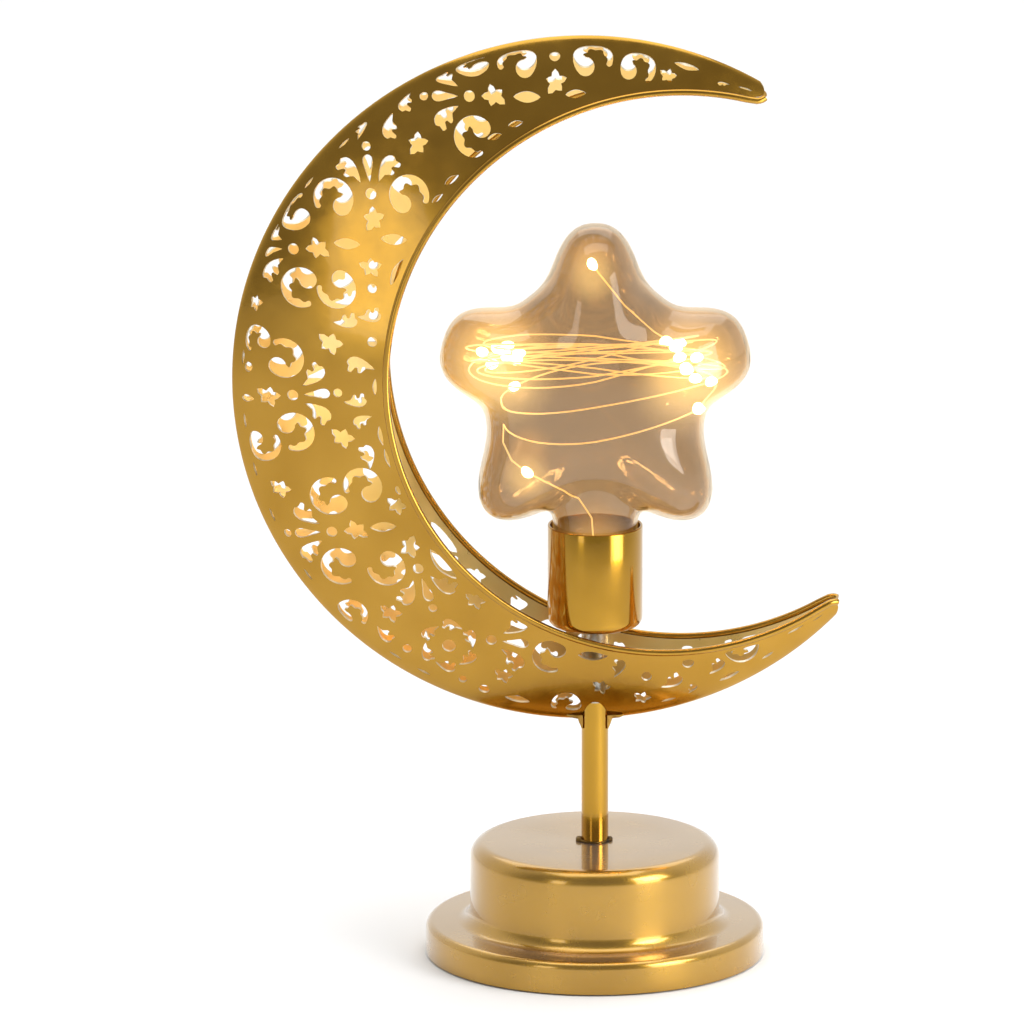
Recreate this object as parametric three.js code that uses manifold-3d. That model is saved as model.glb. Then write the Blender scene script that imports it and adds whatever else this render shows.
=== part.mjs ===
// Moon and star table light: a pierced crescent and a glass star bulb on a stemmed, stepped round base.
// Millimetres, +Z up, front toward -Y. The stem stands on the Z axis while the pieces are made, and the
// whole object is then moved along X so that it is centred over the origin.
import * as THREE from 'three';
import { mergeVertices } from 'three/addons/utils/BufferGeometryUtils.js';
import Module from 'manifold-3d';

const wasm = await Module();
wasm.setup();

// Shared sizes
const gap = 0.3;                      // left between two pieces that touch
const sheet = 0.8;                    // pressed steel of the housing, cup and crescent

// Base
const flangeDiameter = 100;
const flangeHeight = 10;
const flangeEdgeRadius = 2;
const drumEdgeRadius = 4.5;
const drumFootRadius = 4;
const baseHeight = 34;
const shellLift = 0.5;                // bare metal stays this far off the table
const footThickness = 1.5;
const footWidth = 3.2;
const footInset = 1;                  // rubber ring inside the tray's edge

// Stem
const stemDiameter = 8;
const stemWall = 0.8;
const stemRun = 37.5;                 // bare stem between base and crescent
const stemTuck = 4;                   // reaches this far into the base
const weldRadius = 1.6;
const gussetSize = 3.2;
const gussetThickness = 2.6;

// Crescent
const moonRadius = 103.5;
const moonWidth = 0.4406 * moonRadius; // at its widest
const moonShift = -3.4;               // crescent's centre, left of the stem
const moonTilt = 7.5;                 // degrees, how far the bay turns up
const bayRadius = 0.8164 * moonRadius;
const moonHalfDepth = 18.6;           // of the dish, where the crescent is widest
const dishPower = 0.75;
const upperHornWidth = 5.3;           // where each horn is cut off
const lowerHornWidth = 4.8;
const hornBulge = 2.6;
const beadDiameter = 2;
const stemSlotHeight = 14;            // room for the stem in the shells' lower edge

// Pierced pattern
const patternUnit = 1;                // the motifs' lengths and places below are in this unit
const outerEdge = 1.3;                // metal left at the crescent's outer edge
const innerEdge = 1.9;                // and beside the bead
const edgeSoftness = 4;               // motifs are squeezed within this distance of an edge
const web = 0.5;                      // least metal between two motifs

// Lamp cup and screw holder
const cupDiameter = 28.1;
const cupHeight = 30.7;
const cupFootRadius = 3;
const cupClearance = 1.8;             // between the bead and the cup
const nutAcross = 12;
const nutHeight = 3;
const holderHeight = 16;
const holderFloor = 2;
const threadDiameter = 14;
const threadPitch = 2.82;
const threadDepth = 0.8;
const threadClearance = 0.4;
const capWall = 0.6;
const contactThickness = 0.8;
const gasketThickness = 1.2;

// Star bulb
const starRise = 41.8;                // star's centre above the cup's rim
const starTip = 48.6;
const starNotch = 32.6;
// Arms of the star: direction and half-spread in degrees, share of the tip's reach, bluntness
const starArms = [
  [90, 18.7, 1, 2.65],
  [162.8, 20.2, 0.953, 3.8],
  [230.7, 18.2, 1.014, 2.1],
  [309.3, 18.2, 1.014, 2.1],
  [17.2, 20.2, 0.953, 3.8],
];
const starHalfDepth = 21;
const glassWall = 1.2;
const neckDiameter = 25.4;
const neckTip = 10;                   // diameter that goes into the screw cap

// Light string
const wireDiameter = 0.5;
const ledLength = 3.6;
const ledDiameter = 1.6;
const windingLoops = 10;
const stepsPerLoop = 18;
const lightStep = 3;                  // steps past the middle, two lights to a loop
const wallRoom = 3.3;                 // kept between the winding and the glass
const innerDepth = 2;                 // half-depth of the innermost loop
const reachStep = 1.2;                // each loop reaches less far than the last
// Heights from the star's centre at which the loops turn in the left and in the right arm, and how far
// their front strands hang between
const leftTurns = [-10, -2.5, 16.5, 1, 10, 3, 16.5, 1, 11, 12, 7];
const rightTurns = [-2, 5.5, 2, 18, 0.5, 11, 8, 19, 5, 14, 12];
const frontSags = [6.5, 4, -5, 5, -3, 1.5, -5, 0, 3, -0.5, 0];

// Battery tray
const trayFit = 0.5;                  // between tray and housing
const trayPlate = 2;
const trayRoof = 2;
const trayWall = 1;
const traySideMargin = 2.5;           // tray's low step beyond the door
const trayEndMargin = 4.5;
const trayStepClearance = 1.2;        // below the flange
const cellDiameter = 14.2;
const cellLength = 49.5;
const cellNub = 1;
const cellNubDiameter = 5.5;
const cellClearance = 0.8;
const cellCornerClearance = 0.5;      // outer cells to the tray's round wall
const springLength = 3.4;
const tagThickness = 0.5;
const doorThickness = 1.5;
const doorMargin = 2;                 // door beyond the cells on each side
const hingePinDiameter = 1.2;
const barrelDiameter = 2.6;
const screwMargin = 2.3;              // screw heads inside the foot ring
const screwAngles = [0, 155, 205];    // degrees
const screwDiameter = 3;
const screwHeadDiameter = 5.4;
const screwHeadHeight = 1.1;
const postDiameter = 6.4;
const switchWidth = 7;
const switchMargin = 3.5;             // beside the tray's low step
const switchTravel = 4;
const boardWidth = 34;
const boardDepth = 20;
const boardThickness = 1.6;
const leadDiameter = 1.4;
const supplyPadX = 9;                 // solder pads of the two supply leads
const supplyPadY = 6;
const leadHump = 1.5;                 // leads rise this far off the board

const radians = THREE.MathUtils.degToRad;
const object = new THREE.Group();

// Finishes
const finish = (color, roughness, metalness) => new THREE.MeshStandardMaterial({ color, roughness, metalness });
const gold = () => finish(0xbe9132, 0.28, 1);
const brass = () => finish(0xc9a55a, 0.35, 1);
const nickel = () => finish(0xb9bcbe, 0.3, 1);
const blackPlastic = () => finish(0x1d1d1f, 0.5, 0);
const whitePlastic = () => finish(0xe6e2d8, 0.45, 0);

// A closed three.js geometry becomes a solid that faces outward
function solid(geometry) {
  geometry.deleteAttribute('normal');
  geometry.deleteAttribute('uv');
  const merged = mergeVertices(geometry, 1e-4);
  const place = merged.attributes.position;
  const index = merged.index.array;
  const corner = [new THREE.Vector3(), new THREE.Vector3(), new THREE.Vector3()];
  const triangles = [];
  let volume = 0;
  for (let i = 0; i < index.length; i += 3) {
    const [a, b, c] = index.subarray(i, i + 3);
    if (a === b || b === c || c === a) continue;
    triangles.push([a, b, c]);
    [a, b, c].forEach((vertex, k) => corner[k].fromBufferAttribute(place, vertex));
    volume += corner[0].dot(corner[1].cross(corner[2]));
  }
  if (volume < 0) triangles.forEach((triangle) => triangle.reverse());
  return new wasm.Manifold(new wasm.Mesh({
    numProp: 3,
    vertProperties: new Float32Array(place.array),
    triVerts: new Uint32Array(triangles.flat()),
  }));
}

// Puts a solid into a group as a named mesh
function add(group, name, shape, material, place = [0, 0, 0]) {
  const body = shape.isBufferGeometry ? solid(shape) : shape;
  const data = body.getMesh();
  const geometry = new THREE.BufferGeometry();
  geometry.setAttribute('position', new THREE.BufferAttribute(new Float32Array(data.vertProperties), 3));
  geometry.setIndex(new THREE.BufferAttribute(new Uint32Array(data.triVerts), 1));
  geometry.computeVertexNormals();
  const mesh = new THREE.Mesh(geometry, material);
  mesh.name = name;
  mesh.position.set(...place);
  group.add(mesh);
  return mesh;
}

// Basic shapes, each standing along Z
function turned(profile, sides) {
  const points = profile.map(([radius, height]) => new THREE.Vector2(radius, height));
  return new THREE.LatheGeometry([...points, points[0]], sides).rotateX(Math.PI / 2);
}

function rod(radius, bottom, top, sides = 24, x = 0, y = 0) {
  const shape = new THREE.CylinderGeometry(radius, radius, top - bottom, sides);
  return shape.rotateX(Math.PI / 2).translate(x, y, (bottom + top) / 2);
}

function block(width, depth, bottom, top, x = 0, y = 0) {
  return new THREE.BoxGeometry(width, depth, top - bottom).translate(x, y, (bottom + top) / 2);
}

function barAlongX(radius, length, y, z, sides = 12) {
  return new THREE.CylinderGeometry(radius, radius, length, sides).rotateZ(Math.PI / 2).translate(0, y, z);
}

function ringSection(inner, outer, bottom, top) {
  return [[inner, bottom], [outer, bottom], [outer, top], [inner, top]];
}

// Points of a quarter round from one angle to another, in degrees
function arc(centreX, centreY, radius, from, to, steps) {
  return Array.from({ length: steps + 1 }, (_, i) => {
    const angle = radians(from + (to - from) * i / steps);
    return [centreX + radius * Math.cos(angle), centreY + radius * Math.sin(angle)];
  });
}

// A tube along a curve through the given points
function tube(points, diameter, sides, steps) {
  const section = new THREE.Shape(arc(0, 0, diameter / 2, 0, 360, sides).slice(0, -1)
    .map(([x, y]) => new THREE.Vector2(x, y)));
  const path = new THREE.CatmullRomCurve3(points.map((point) => new THREE.Vector3(...point)));
  return new THREE.ExtrudeGeometry(section, { steps, bevelEnabled: false, extrudePath: path });
}

// Heights and places that tie the sub-assemblies together
const stemRadius = stemDiameter / 2;
const cellPitch = cellDiameter + cellClearance;
const pocketWidth = 3 * cellPitch;
const pocketLength = cellLength + cellNub + springLength + 2 * tagThickness + 3 * gap;
const cellStart = pocketLength / 2 - 1.5 * gap - tagThickness - springLength;
const cellCorner = Math.hypot(cellPitch + cellDiameter / 2, cellLength - cellStart);
const drumRadius = cellCorner + cellCornerClearance + trayWall + trayFit + sheet;
const flangeRadius = flangeDiameter / 2;
const moonCentre = new THREE.Vector2(moonShift, baseHeight + stemRun + moonRadius);
const bayDistance = moonWidth - moonRadius + bayRadius;
const bay = new THREE.Vector2(bayDistance, 0).rotateAround(new THREE.Vector2(), radians(moonTilt));
const beadRadius = beadDiameter / 2;
const cupRadius = cupDiameter / 2;
const cupInner = cupRadius - sheet;
const bayOverStem = moonCentre.y + bay.y - Math.sqrt(bayRadius ** 2 - (moonCentre.x + bay.x) ** 2);
const cupBottom = bayOverStem + beadRadius + cupClearance;
const cupTop = cupBottom + cupHeight;
const nutBottom = cupBottom + sheet + gap;
const stemTop = nutBottom + nutHeight + gap;
const holderBottom = stemTop + gap;
const holderTop = holderBottom + holderHeight;

// Base housing, pressed from one disc
function baseShell() {
  const foot = drumRadius + drumFootRadius;
  const outside = [
    [flangeRadius, shellLift],
    ...arc(flangeRadius - flangeEdgeRadius, flangeHeight - flangeEdgeRadius, flangeEdgeRadius, 0, 90, 2),
    ...arc(foot, flangeHeight + drumFootRadius, drumFootRadius, 270, 180, 3),
    ...arc(drumRadius - drumEdgeRadius, baseHeight - drumEdgeRadius, drumEdgeRadius, 0, 90, 3),
    [stemRadius + gap, baseHeight],
  ];
  const inside = [
    [stemRadius + gap, baseHeight - sheet],
    ...arc(drumRadius - drumEdgeRadius, baseHeight - drumEdgeRadius, drumEdgeRadius - sheet, 90, 0, 2),
    ...arc(foot, flangeHeight + drumFootRadius, drumFootRadius + sheet, 180, 270, 2),
    [flangeRadius - sheet, flangeHeight - sheet],
    [flangeRadius - sheet, shellLift],
  ];
  return turned([...outside, ...inside], 30);
}

const housing = new THREE.Group();
object.add(housing);
add(housing, 'base_shell', baseShell(), gold());

const plateBottom = footThickness + gap;
const plateTop = plateBottom + trayPlate;
const trayRadius = flangeRadius - sheet - trayFit;
const drumClear = drumRadius - sheet - trayFit;
const footOuter = trayRadius - footInset;
const footInner = footOuter - footWidth;
add(housing, 'foot_ring', turned(ringSection(footInner, footOuter, 0, footThickness), 30),
  finish(0x161616, 0.9, 0));

// Battery tray: three cells side by side along Y, open below behind a hinged door
const doorWidth = pocketWidth + 2 * doorMargin;
const doorLength = pocketLength + 2 * doorMargin;
const doorBottom = plateBottom;
const doorTop = doorBottom + doorThickness;
const hingeY = doorLength / 2;
const hingeZ = doorBottom + barrelDiameter / 2 - 0.2;
const pocketBottom = doorTop + gap;
const cellZ = pocketBottom + gap + cellDiameter / 2;
const pocketTop = cellZ + cellDiameter / 2 + gap;
const trayTop = pocketTop + trayRoof;
const stepWidth = doorWidth + 2 * traySideMargin;
const stepLength = doorLength + 2 * trayEndMargin;
const stepTop = flangeHeight - sheet - trayStepClearance;
const screwReach = footInner - screwMargin - screwHeadDiameter / 2;
const screwPlaces = screwAngles.map((angle) => [
  screwReach * Math.cos(radians(angle)),
  screwReach * Math.sin(radians(angle)),
]);
const knobX = -(stepWidth / 2 + switchMargin + switchWidth / 2);
const tagHeight = 9;
const tagTop = cellZ + tagHeight / 2;
const tagY = pocketLength / 2 - gap - tagThickness / 2;
const boardScrewDiameter = 2;
const boardScrewHole = boardScrewDiameter / 2 + gap;
const boardScrewReach = boardWidth / 2 - 3;
const barrelLength = doorWidth - 6;
const pinLength = barrelLength + 8;
const switchSlot = switchTravel + 3.6 + 2 * gap;
const knobWidth = 2.6;

function batteryTray() {
  const roomForHinge = barrelDiameter / 2 + 0.4;
  const plate = solid(rod(trayRadius, plateBottom, plateTop, 44));
  const low = solid(block(stepWidth, stepLength, plateTop - 0.5, stepTop))
    .intersect(solid(rod(trayRadius, plateBottom, stepTop + 1, 44)));
  const high = solid(block(stepWidth, stepLength, stepTop - 0.5, trayTop))
    .intersect(solid(rod(drumClear, stepTop - 1, trayTop + 1, 44)));
  const pocket = solid(block(pocketWidth, pocketLength, pocketBottom - 1, pocketTop))
    .intersect(solid(rod(drumClear - trayWall, pocketBottom - 2, pocketTop + 1, 44)));
  const doorway = solid(block(doorWidth + 2 * gap, doorLength + 2 * gap, plateBottom - 1, pocketBottom));
  const hingeRoom = solid(block(barrelLength + 2 * gap, 2 * roomForHinge, plateBottom - 1,
    hingeZ + roomForHinge, 0, hingeY));
  const pinHole = solid(barAlongX(hingePinDiameter / 2 + gap, pinLength + 2 * gap, hingeY, hingeZ));
  let tray = plate.add(low).add(high).subtract(pocket).subtract(doorway).subtract(hingeRoom)
    .subtract(pinHole);
  tray = tray.subtract(solid(block(knobWidth + 2 * gap, switchSlot, plateBottom - 1, plateTop + 1, knobX)));
  for (const [x, y] of screwPlaces) {
    tray = tray.subtract(solid(rod(screwDiameter / 2 + gap, plateBottom - 1, plateTop + 1, 12, x, y)));
  }
  for (const side of [-1, 1]) {
    const leadRoom = rod(leadDiameter / 2 + gap, tagTop, trayTop + 1, 8, side * cellPitch, side * tagY);
    tray = tray.subtract(solid(leadRoom));
    tray = tray.subtract(solid(rod(boardScrewHole, pocketTop + 0.6, trayTop + 1, 10, side * boardScrewReach, 0)));
  }
  return tray;
}

add(housing, 'battery_tray', batteryTray(), blackPlastic());

// Door with its hinge barrel along X
function batteryDoor() {
  const length = doorLength - barrelDiameter / 2;
  const panel = solid(block(doorWidth, length, doorBottom, doorTop, 0, -barrelDiameter / 4))
    .subtract(solid(block(doorWidth + 1, 3 * barrelDiameter, doorBottom - 1, doorTop + 1, 0, hingeY + barrelDiameter)));
  const neck = solid(block(barrelLength, barrelDiameter * 2, doorBottom, doorTop, 0, hingeY - barrelDiameter));
  const barrel = solid(barAlongX(barrelDiameter / 2, barrelLength, hingeY, hingeZ));
  const bore = solid(barAlongX(hingePinDiameter / 2 + gap / 2, barrelLength + 2, hingeY, hingeZ, 12));
  const fingerNotch = solid(rod(5, doorBottom - 1, doorBottom + 0.7, 16, 0, -doorLength / 2 + 6));
  return panel.add(neck).add(barrel).subtract(bore).subtract(fingerNotch);
}

add(housing, 'battery_door', batteryDoor(), blackPlastic());
add(housing, 'door_hinge_pin', barAlongX(hingePinDiameter / 2, pinLength, 0, 0, 8), nickel(), [0, hingeY, hingeZ]);

// Cells lie head to tail, so each tag joins the next cell
const cellProfile = [
  [0, 0],
  [cellDiameter / 2, 0],
  [cellDiameter / 2, cellLength],
  [cellNubDiameter / 2, cellLength],
  [cellNubDiameter / 2, cellLength + cellNub],
  [0, cellLength + cellNub],
];
for (const [i, heading] of [1, -1, 1].entries()) {
  const x = (i - 1) * cellPitch;
  const cell = add(housing, `battery_${i + 1}`, turned(cellProfile, 14), finish(0x3b6b3f, 0.4, 0.2),
    [x, -heading * cellStart, cellZ]);
  cell.rotation.x = -heading * Math.PI / 2;
}

// Contact tags at both ends, each with a coned spring where it meets a cell's flat end
function contact(tagFrom, tagTo, springs) {
  const width = (Math.abs(tagTo - tagFrom) + 1) * cellPitch - 7;
  const x = (tagFrom + tagTo) / 2 * cellPitch;
  let shape = solid(new THREE.BoxGeometry(width, tagThickness, tagHeight).translate(x, 0, 0));
  for (const place of springs) {
    const cone = new THREE.CylinderGeometry(2.2, 4, springLength - 2 * gap + 0.4, 12);
    cone.translate(place * cellPitch, (springLength - 2 * gap) / 2, 0);
    shape = shape.add(solid(cone));
  }
  return shape;
}

function addContact(name, end, from, to, springs) {
  const mesh = add(housing, name, contact(from * -end, to * -end, springs.map((place) => place * -end)),
    brass(), [0, end * tagY, cellZ]);
  if (end > 0) mesh.rotation.z = Math.PI;
}
addContact('contact_negative', -1, -1, -1, [-1]);
addContact('contact_bridge_front', -1, 0, 1, [1]);
addContact('contact_bridge_back', 1, 0, -1, [0]);
addContact('contact_positive', 1, 1, 1, []);

// Tray screws, in posts welded under the flange
const postTop = flangeHeight - sheet - gap;
for (const [i, [x, y]] of screwPlaces.entries()) {
  const post = solid(rod(postDiameter / 2, plateTop + gap, postTop, 12))
    .subtract(solid(rod(screwDiameter / 2 + gap, plateTop, postTop - 0.8, 10)));
  add(housing, `screw_post_${i + 1}`, post, nickel(), [x, y, 0]);
  const headTop = plateBottom - gap;
  const screw = turned([
    [0, headTop - screwHeadHeight],
    [screwHeadDiameter / 2, headTop - 0.7 * screwHeadHeight],
    [screwHeadDiameter / 2, headTop],
    [screwDiameter / 2, headTop],
    [screwDiameter / 2, postTop - 2.6],
    [0, postTop - 1.4],
  ], 9);
  add(housing, `tray_screw_${i + 1}`, screw, nickel(), [x, y, 0]);
}

// Slide switch: the knob's foot runs in the case, its grip reaches down through the tray
const switchBottom = plateTop + gap;
const switchTop = switchBottom + 4;
const knobGrip = 3.6;
const knobFootWidth = 4;
const knobFootTop = switchBottom + 2.2;
const knobRest = -switchTravel / 2;
const caseLength = switchTravel + knobGrip + 2 * gap + 3;
const switchCase = solid(block(switchWidth, caseLength, switchBottom, switchTop))
  .subtract(solid(block(knobFootWidth + 2 * gap, switchSlot, switchBottom + 0.7, switchTop - 0.8)))
  .subtract(solid(block(knobWidth + 2 * gap, switchSlot, switchBottom - 1, switchBottom + 1)));
add(housing, 'switch_body', switchCase, nickel(), [knobX, 0, 0]);
const knob = solid(block(knobFootWidth, knobGrip, switchBottom + 0.7 + gap, knobFootTop + gap))
  .add(solid(block(knobWidth, knobGrip, plateBottom - 1, switchBottom + 1.2)));
add(housing, 'switch_knob', knob, blackPlastic(), [knobX, knobRest, 0]);

// Circuit board on the tray's roof
const boardBottom = trayTop + gap;
const boardTop = boardBottom + boardThickness;
let board = solid(block(boardWidth, boardDepth, boardBottom, boardTop))
  .add(solid(block(6, 5, boardTop - 0.2, boardTop + 1.6, -5, -5)))
  .add(solid(block(3, 5, boardTop - 0.2, boardTop + 2.2, 5, -4)));
for (const side of [-1, 1]) {
  const x = side * boardScrewReach;
  board = board.subtract(solid(rod(boardScrewHole, boardBottom - 1, boardTop + 1, 10, x, 0)));
  const shank = boardScrewDiameter / 2;
  const screw = turned([
    [0, pocketTop + 1],
    [shank, pocketTop + 1.4],
    [shank, boardTop + gap],
    [shank + 0.9, boardTop + gap],
    [shank + 0.9, boardTop + gap + 1],
    [0, boardTop + gap + 1.2],
  ], 10);
  add(housing, side < 0 ? 'board_screw_left' : 'board_screw_right', screw, nickel(), [x, 0, 0]);
}
add(housing, 'control_board', board, finish(0x1f6b3a, 0.5, 0));

// Battery leads, from the end tags up through the tray to the board
for (const [name, side, color] of [['battery_lead_red', 1, 0xb01c1c], ['battery_lead_black', -1, 0x151515]]) {
  const top = boardTop + gap + leadDiameter / 2;
  const lead = tube([
    [side * cellPitch, side * tagY, tagTop + gap],
    [side * cellPitch, side * tagY, trayTop],
    [side * cellPitch * 0.96, side * (tagY - 2), top + leadHump],
    [side * cellPitch * 0.8, side * (tagY - 10), top + leadHump],
    [side * cellPitch * 0.7, side * (boardDepth / 2 - 3), top],
  ], leadDiameter, 6, 12);
  add(housing, name, lead, finish(color, 0.6, 0));
}

// Stem, its welds, and the leads inside it
const stemBottom = baseHeight - stemTuck;
const stem = new THREE.Group();
object.add(stem);
add(stem, 'stem_tube', turned(ringSection(stemRadius - stemWall, stemRadius, stemBottom, stemTop), 20), gold());
const weldInner = stemRadius + gap;
const weldProfile = [
  [weldInner, 0],
  [weldInner + weldRadius, 0],
  [weldInner + weldRadius * 0.55, weldRadius * 0.5],
  [weldInner, weldRadius],
];
add(stem, 'stem_foot_weld', turned(weldProfile, 20), gold(), [0, 0, baseHeight + gap]);

for (const [name, side, color] of [['supply_lead_red', 1, 0xb01c1c], ['supply_lead_black', -1, 0x151515]]) {
  const x = side * (stemRadius - stemWall - gap - leadDiameter / 2) * 0.75;
  const pad = boardTop + gap + leadDiameter / 2;
  const lead = tube([
    [side * supplyPadX, supplyPadY, pad],
    [side * supplyPadX * 0.55, supplyPadY * 0.55, pad + leadHump],
    [x, 0, stemBottom - leadDiameter],
    [x, 0, stemBottom + 4],
    [x, 0, (stemBottom + stemTop) / 2],
    [x, 0, stemTop - 4],
    [x, 0, holderBottom + holderFloor - gap],
  ], leadDiameter, 6, 14);
  add(stem, name, lead, finish(color, 0.6, 0));
}

// Crescent: two dished shells that meet at the outer edge, pierced by one pattern
const dish = (inset) => moonHalfDepth * (inset / moonWidth) ** dishPower;
const turnedBy = (x, y, degrees) => new THREE.Vector2(x, y).rotateAround(new THREE.Vector2(), radians(degrees));

// Where a ray from the crescent's centre meets a circle about the bay's centre
function bayPoint(angle, radius) {
  const ray = new THREE.Vector2(Math.cos(angle), Math.sin(angle));
  const along = ray.dot(bay);
  return ray.multiplyScalar(along + Math.sqrt(along ** 2 - bay.lengthSq() + radius ** 2));
}

// Angle about the crescent's centre at which a horn has narrowed to a width, in degrees
function hornAngle(way, width) {
  const reach = moonRadius - width;
  const cosine = (reach ** 2 + bayDistance ** 2 - bayRadius ** 2) / (2 * reach * bayDistance);
  return moonTilt + way * THREE.MathUtils.radToDeg(Math.acos(cosine));
}

const upperHornAngle = hornAngle(1, upperHornWidth);
const lowerHornAngle = hornAngle(-1, lowerHornWidth);

// Rounded end of a horn, from the outer edge to the bay, kept back by an edge distance
function hornEnd(degrees, way, edge, outer, steps) {
  const angle = radians(degrees) + way * edge / moonRadius;
  const start = new THREE.Vector2(outer, 0).rotateAround(new THREE.Vector2(), angle);
  const end = bayPoint(angle, bayRadius + edge);
  const bulge = new THREE.Vector2(0, -way * hornBulge * 2).rotateAround(new THREE.Vector2(), angle);
  const control = start.clone().add(end).multiplyScalar(0.5).add(bulge);
  return new THREE.QuadraticBezierCurve(start, control, end).getPoints(steps);
}

const bayAngle = (point) => Math.atan2(point.y - bay.y, point.x - bay.x);

function crescentOutline(edge, outer) {
  const upper = hornEnd(upperHornAngle, 1, edge, outer, 3);
  const lower = hornEnd(lowerHornAngle, -1, edge, outer, 3).reverse();
  const from = THREE.MathUtils.radToDeg(bayAngle(lower[0]));
  const to = THREE.MathUtils.radToDeg(bayAngle(upper.at(-1)));
  const inner = arc(bay.x, bay.y, bayRadius + edge, to, from + 360, 36)
    .slice(1, -1).map(([x, y]) => new THREE.Vector2(x, y));
  const outside = arc(0, 0, outer, lowerHornAngle + 360, upperHornAngle, 32)
    .slice(1, -1).map(([x, y]) => new THREE.Vector2(x, y));
  return [...upper, ...inner, ...lower, ...outside];
}

// Motifs of the pierced pattern, in their own coordinates, one unit long. A scroll is a thick arc that
// starts in a round lobe and narrows to its end; a petal is pointed at one end and lobed at the other.
const around = (count, radius) => arc(0, 0, 1, 0, 360, count).slice(0, -1)
  .map(([x, y], i) => [x * radius(i), y * radius(i)]);
const motifs = {
  dot: around(5, () => 0.52),
  eye: [[-0.5, 0], [0, -0.19], [0.5, 0], [0, 0.19]],
  drop: [[-0.5, 0], [0.3, -0.2], [0.5, 0], [0.3, 0.2]],
  star: around(5, () => 0.42),
  petal: [[-0.5, 0], [-0.1, 0.28], [0.34, 0.38], [0.5, 0.05], [0.2, -0.2]],
  scroll: [...arc(0, 0, 0.5, 0, 245, 3), ...arc(0, 0, 0.28, 225, 60, 2), [0.05, 0]],
};

// One spray, pointing along its second axis: motif, place, length, turn, and -1 where it is mirrored
const spray = {
  drop: [['drop', 0, 7.2, 7.8, 90]],
  petals: [['petal', -5, 6.9, 8.6, 120], ['petal', 5, 6.9, 8.6, 60, -1]],
  scrolls: [['scroll', -11.2, -1, 11.8, -45], ['scroll', 11.2, -1, 11.8, -135, -1]],
  star: [['star', 0, -7.2, 7.4, 90]],
};

// Sprays: degrees about the centre, inset from the outer edge, direction, and what each has
const sprays = [
  [95, 5, 92, 'scrolls star'],
  [111, 10.5, 182, 'drop petals scrolls star'],
  [137, 18, 96, 'drop petals scrolls star'],
  [154.5, 9, 186, 'drop petals scrolls star'],
  [182, 18, 8, 'drop petals scrolls star'],
  [211, 17, 188, 'drop petals scrolls star'],
  [228, 30.5, -71, 'drop petals star'],
  [250.5, 22, -6, 'drop petals'],
];

// Single motifs: degrees about the centre, inset, length, turn, and -1 where it is mirrored
const singles = [
  ['scroll', 80.5, 7.5, 10.4, 195, -1], ['eye', 101, 15, 8, 0],
  ['petal', 122, 3, 7.2, 250], ['star', 124, 16, 7, 90], ['petal', 126.5, 7, 7.4, 250],
  ['eye', 141, 31.5, 7.8, 0], ['eye', 146.5, 38, 8.6, 62], 
  ['star', 149.5, 31, 6.8, 20], ['scroll', 157.5, 25, 11.6, 67, -1], ['petal', 160.5, 36.5, 7, 0],
  ['star', 169.5, 28, 7.8, 0], ['scroll', 172.5, 6.5, 8.6, -10],
  ['petal', 173, 37.5, 8.4, 160], ['scroll', 191.5, 7.5, 10.4, 150],
  ['star', 191.5, 31, 7.4, 0], ['petal', 197.5, 37.5, 7.6, 90], ['star', 200, 8.5, 6.6, 0],
  ['scroll', 204, 32, 11.6, -45], ['star', 212, 38.5, 6.6, 0], ['eye', 215, 31.5, 7.8, 8],
  ['scroll', 223.5, 23.5, 11.4, 75, -1], ['scroll', 226, 5, 10, 215, -1], ['star', 230.5, 13.5, 7, 0],
  ['eye', 232, 37, 12, -50], ['star', 243.5, 32, 6.6, 0],
  ['eye', 258.5, 4.5, 7.6, -12], ['scroll', 263, 21, 10.8, 43], ['scroll', 267, 4.5, 9, -40],
  ['eye', 272, 22, 9, 0], ['petal', 277, 16.5, 6.4, 60],
  ['petal', 286, 8.5, 7, 20], ['scroll', 300, 10.5, 10, 30, -1],
];

// A rosette of petals about a dot
const rosette = { degrees: 243.5, inset: 15, dot: 4, petals: 6, reach: 7.2, petal: 6.2, from: 20, turn: 70 };

const onCrescent = (degrees, inset) => turnedBy(moonRadius - inset * patternUnit, 0, degrees);

// Draws a place in from an edge: a share of the distance that falls off smoothly, never under the margin
function drawnIn(distance, margin) {
  if (distance > margin + edgeSoftness) return distance;
  return margin + edgeSoftness * Math.exp((distance - margin - edgeSoftness) / edgeSoftness);
}

// A point of the pattern, kept clear of the crescent's outer edge and of the bead
function settled(point) {
  const radius = point.length();
  const kept = point.clone().multiplyScalar((moonRadius - drawnIn(moonRadius - radius, outerEdge)) / radius);
  const fromBay = kept.clone().sub(bay);
  const clear = bayRadius + drawnIn(fromBay.length() - bayRadius, innerEdge);
  return fromBay.setLength(clear).add(bay);
}

// A motif's corners at a place on the crescent
function placed(name, middle, length, turn, hand = 1) {
  return motifs[name].map(([u, v]) => settled(turnedBy(u, v * hand, turn)
    .multiplyScalar(length * patternUnit).add(middle)));
}

// Least distance between two motifs, corner to corner
function apart(some, others) {
  return Math.min(...some.flatMap((point) => others.map((other) => point.distanceTo(other))));
}

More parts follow.
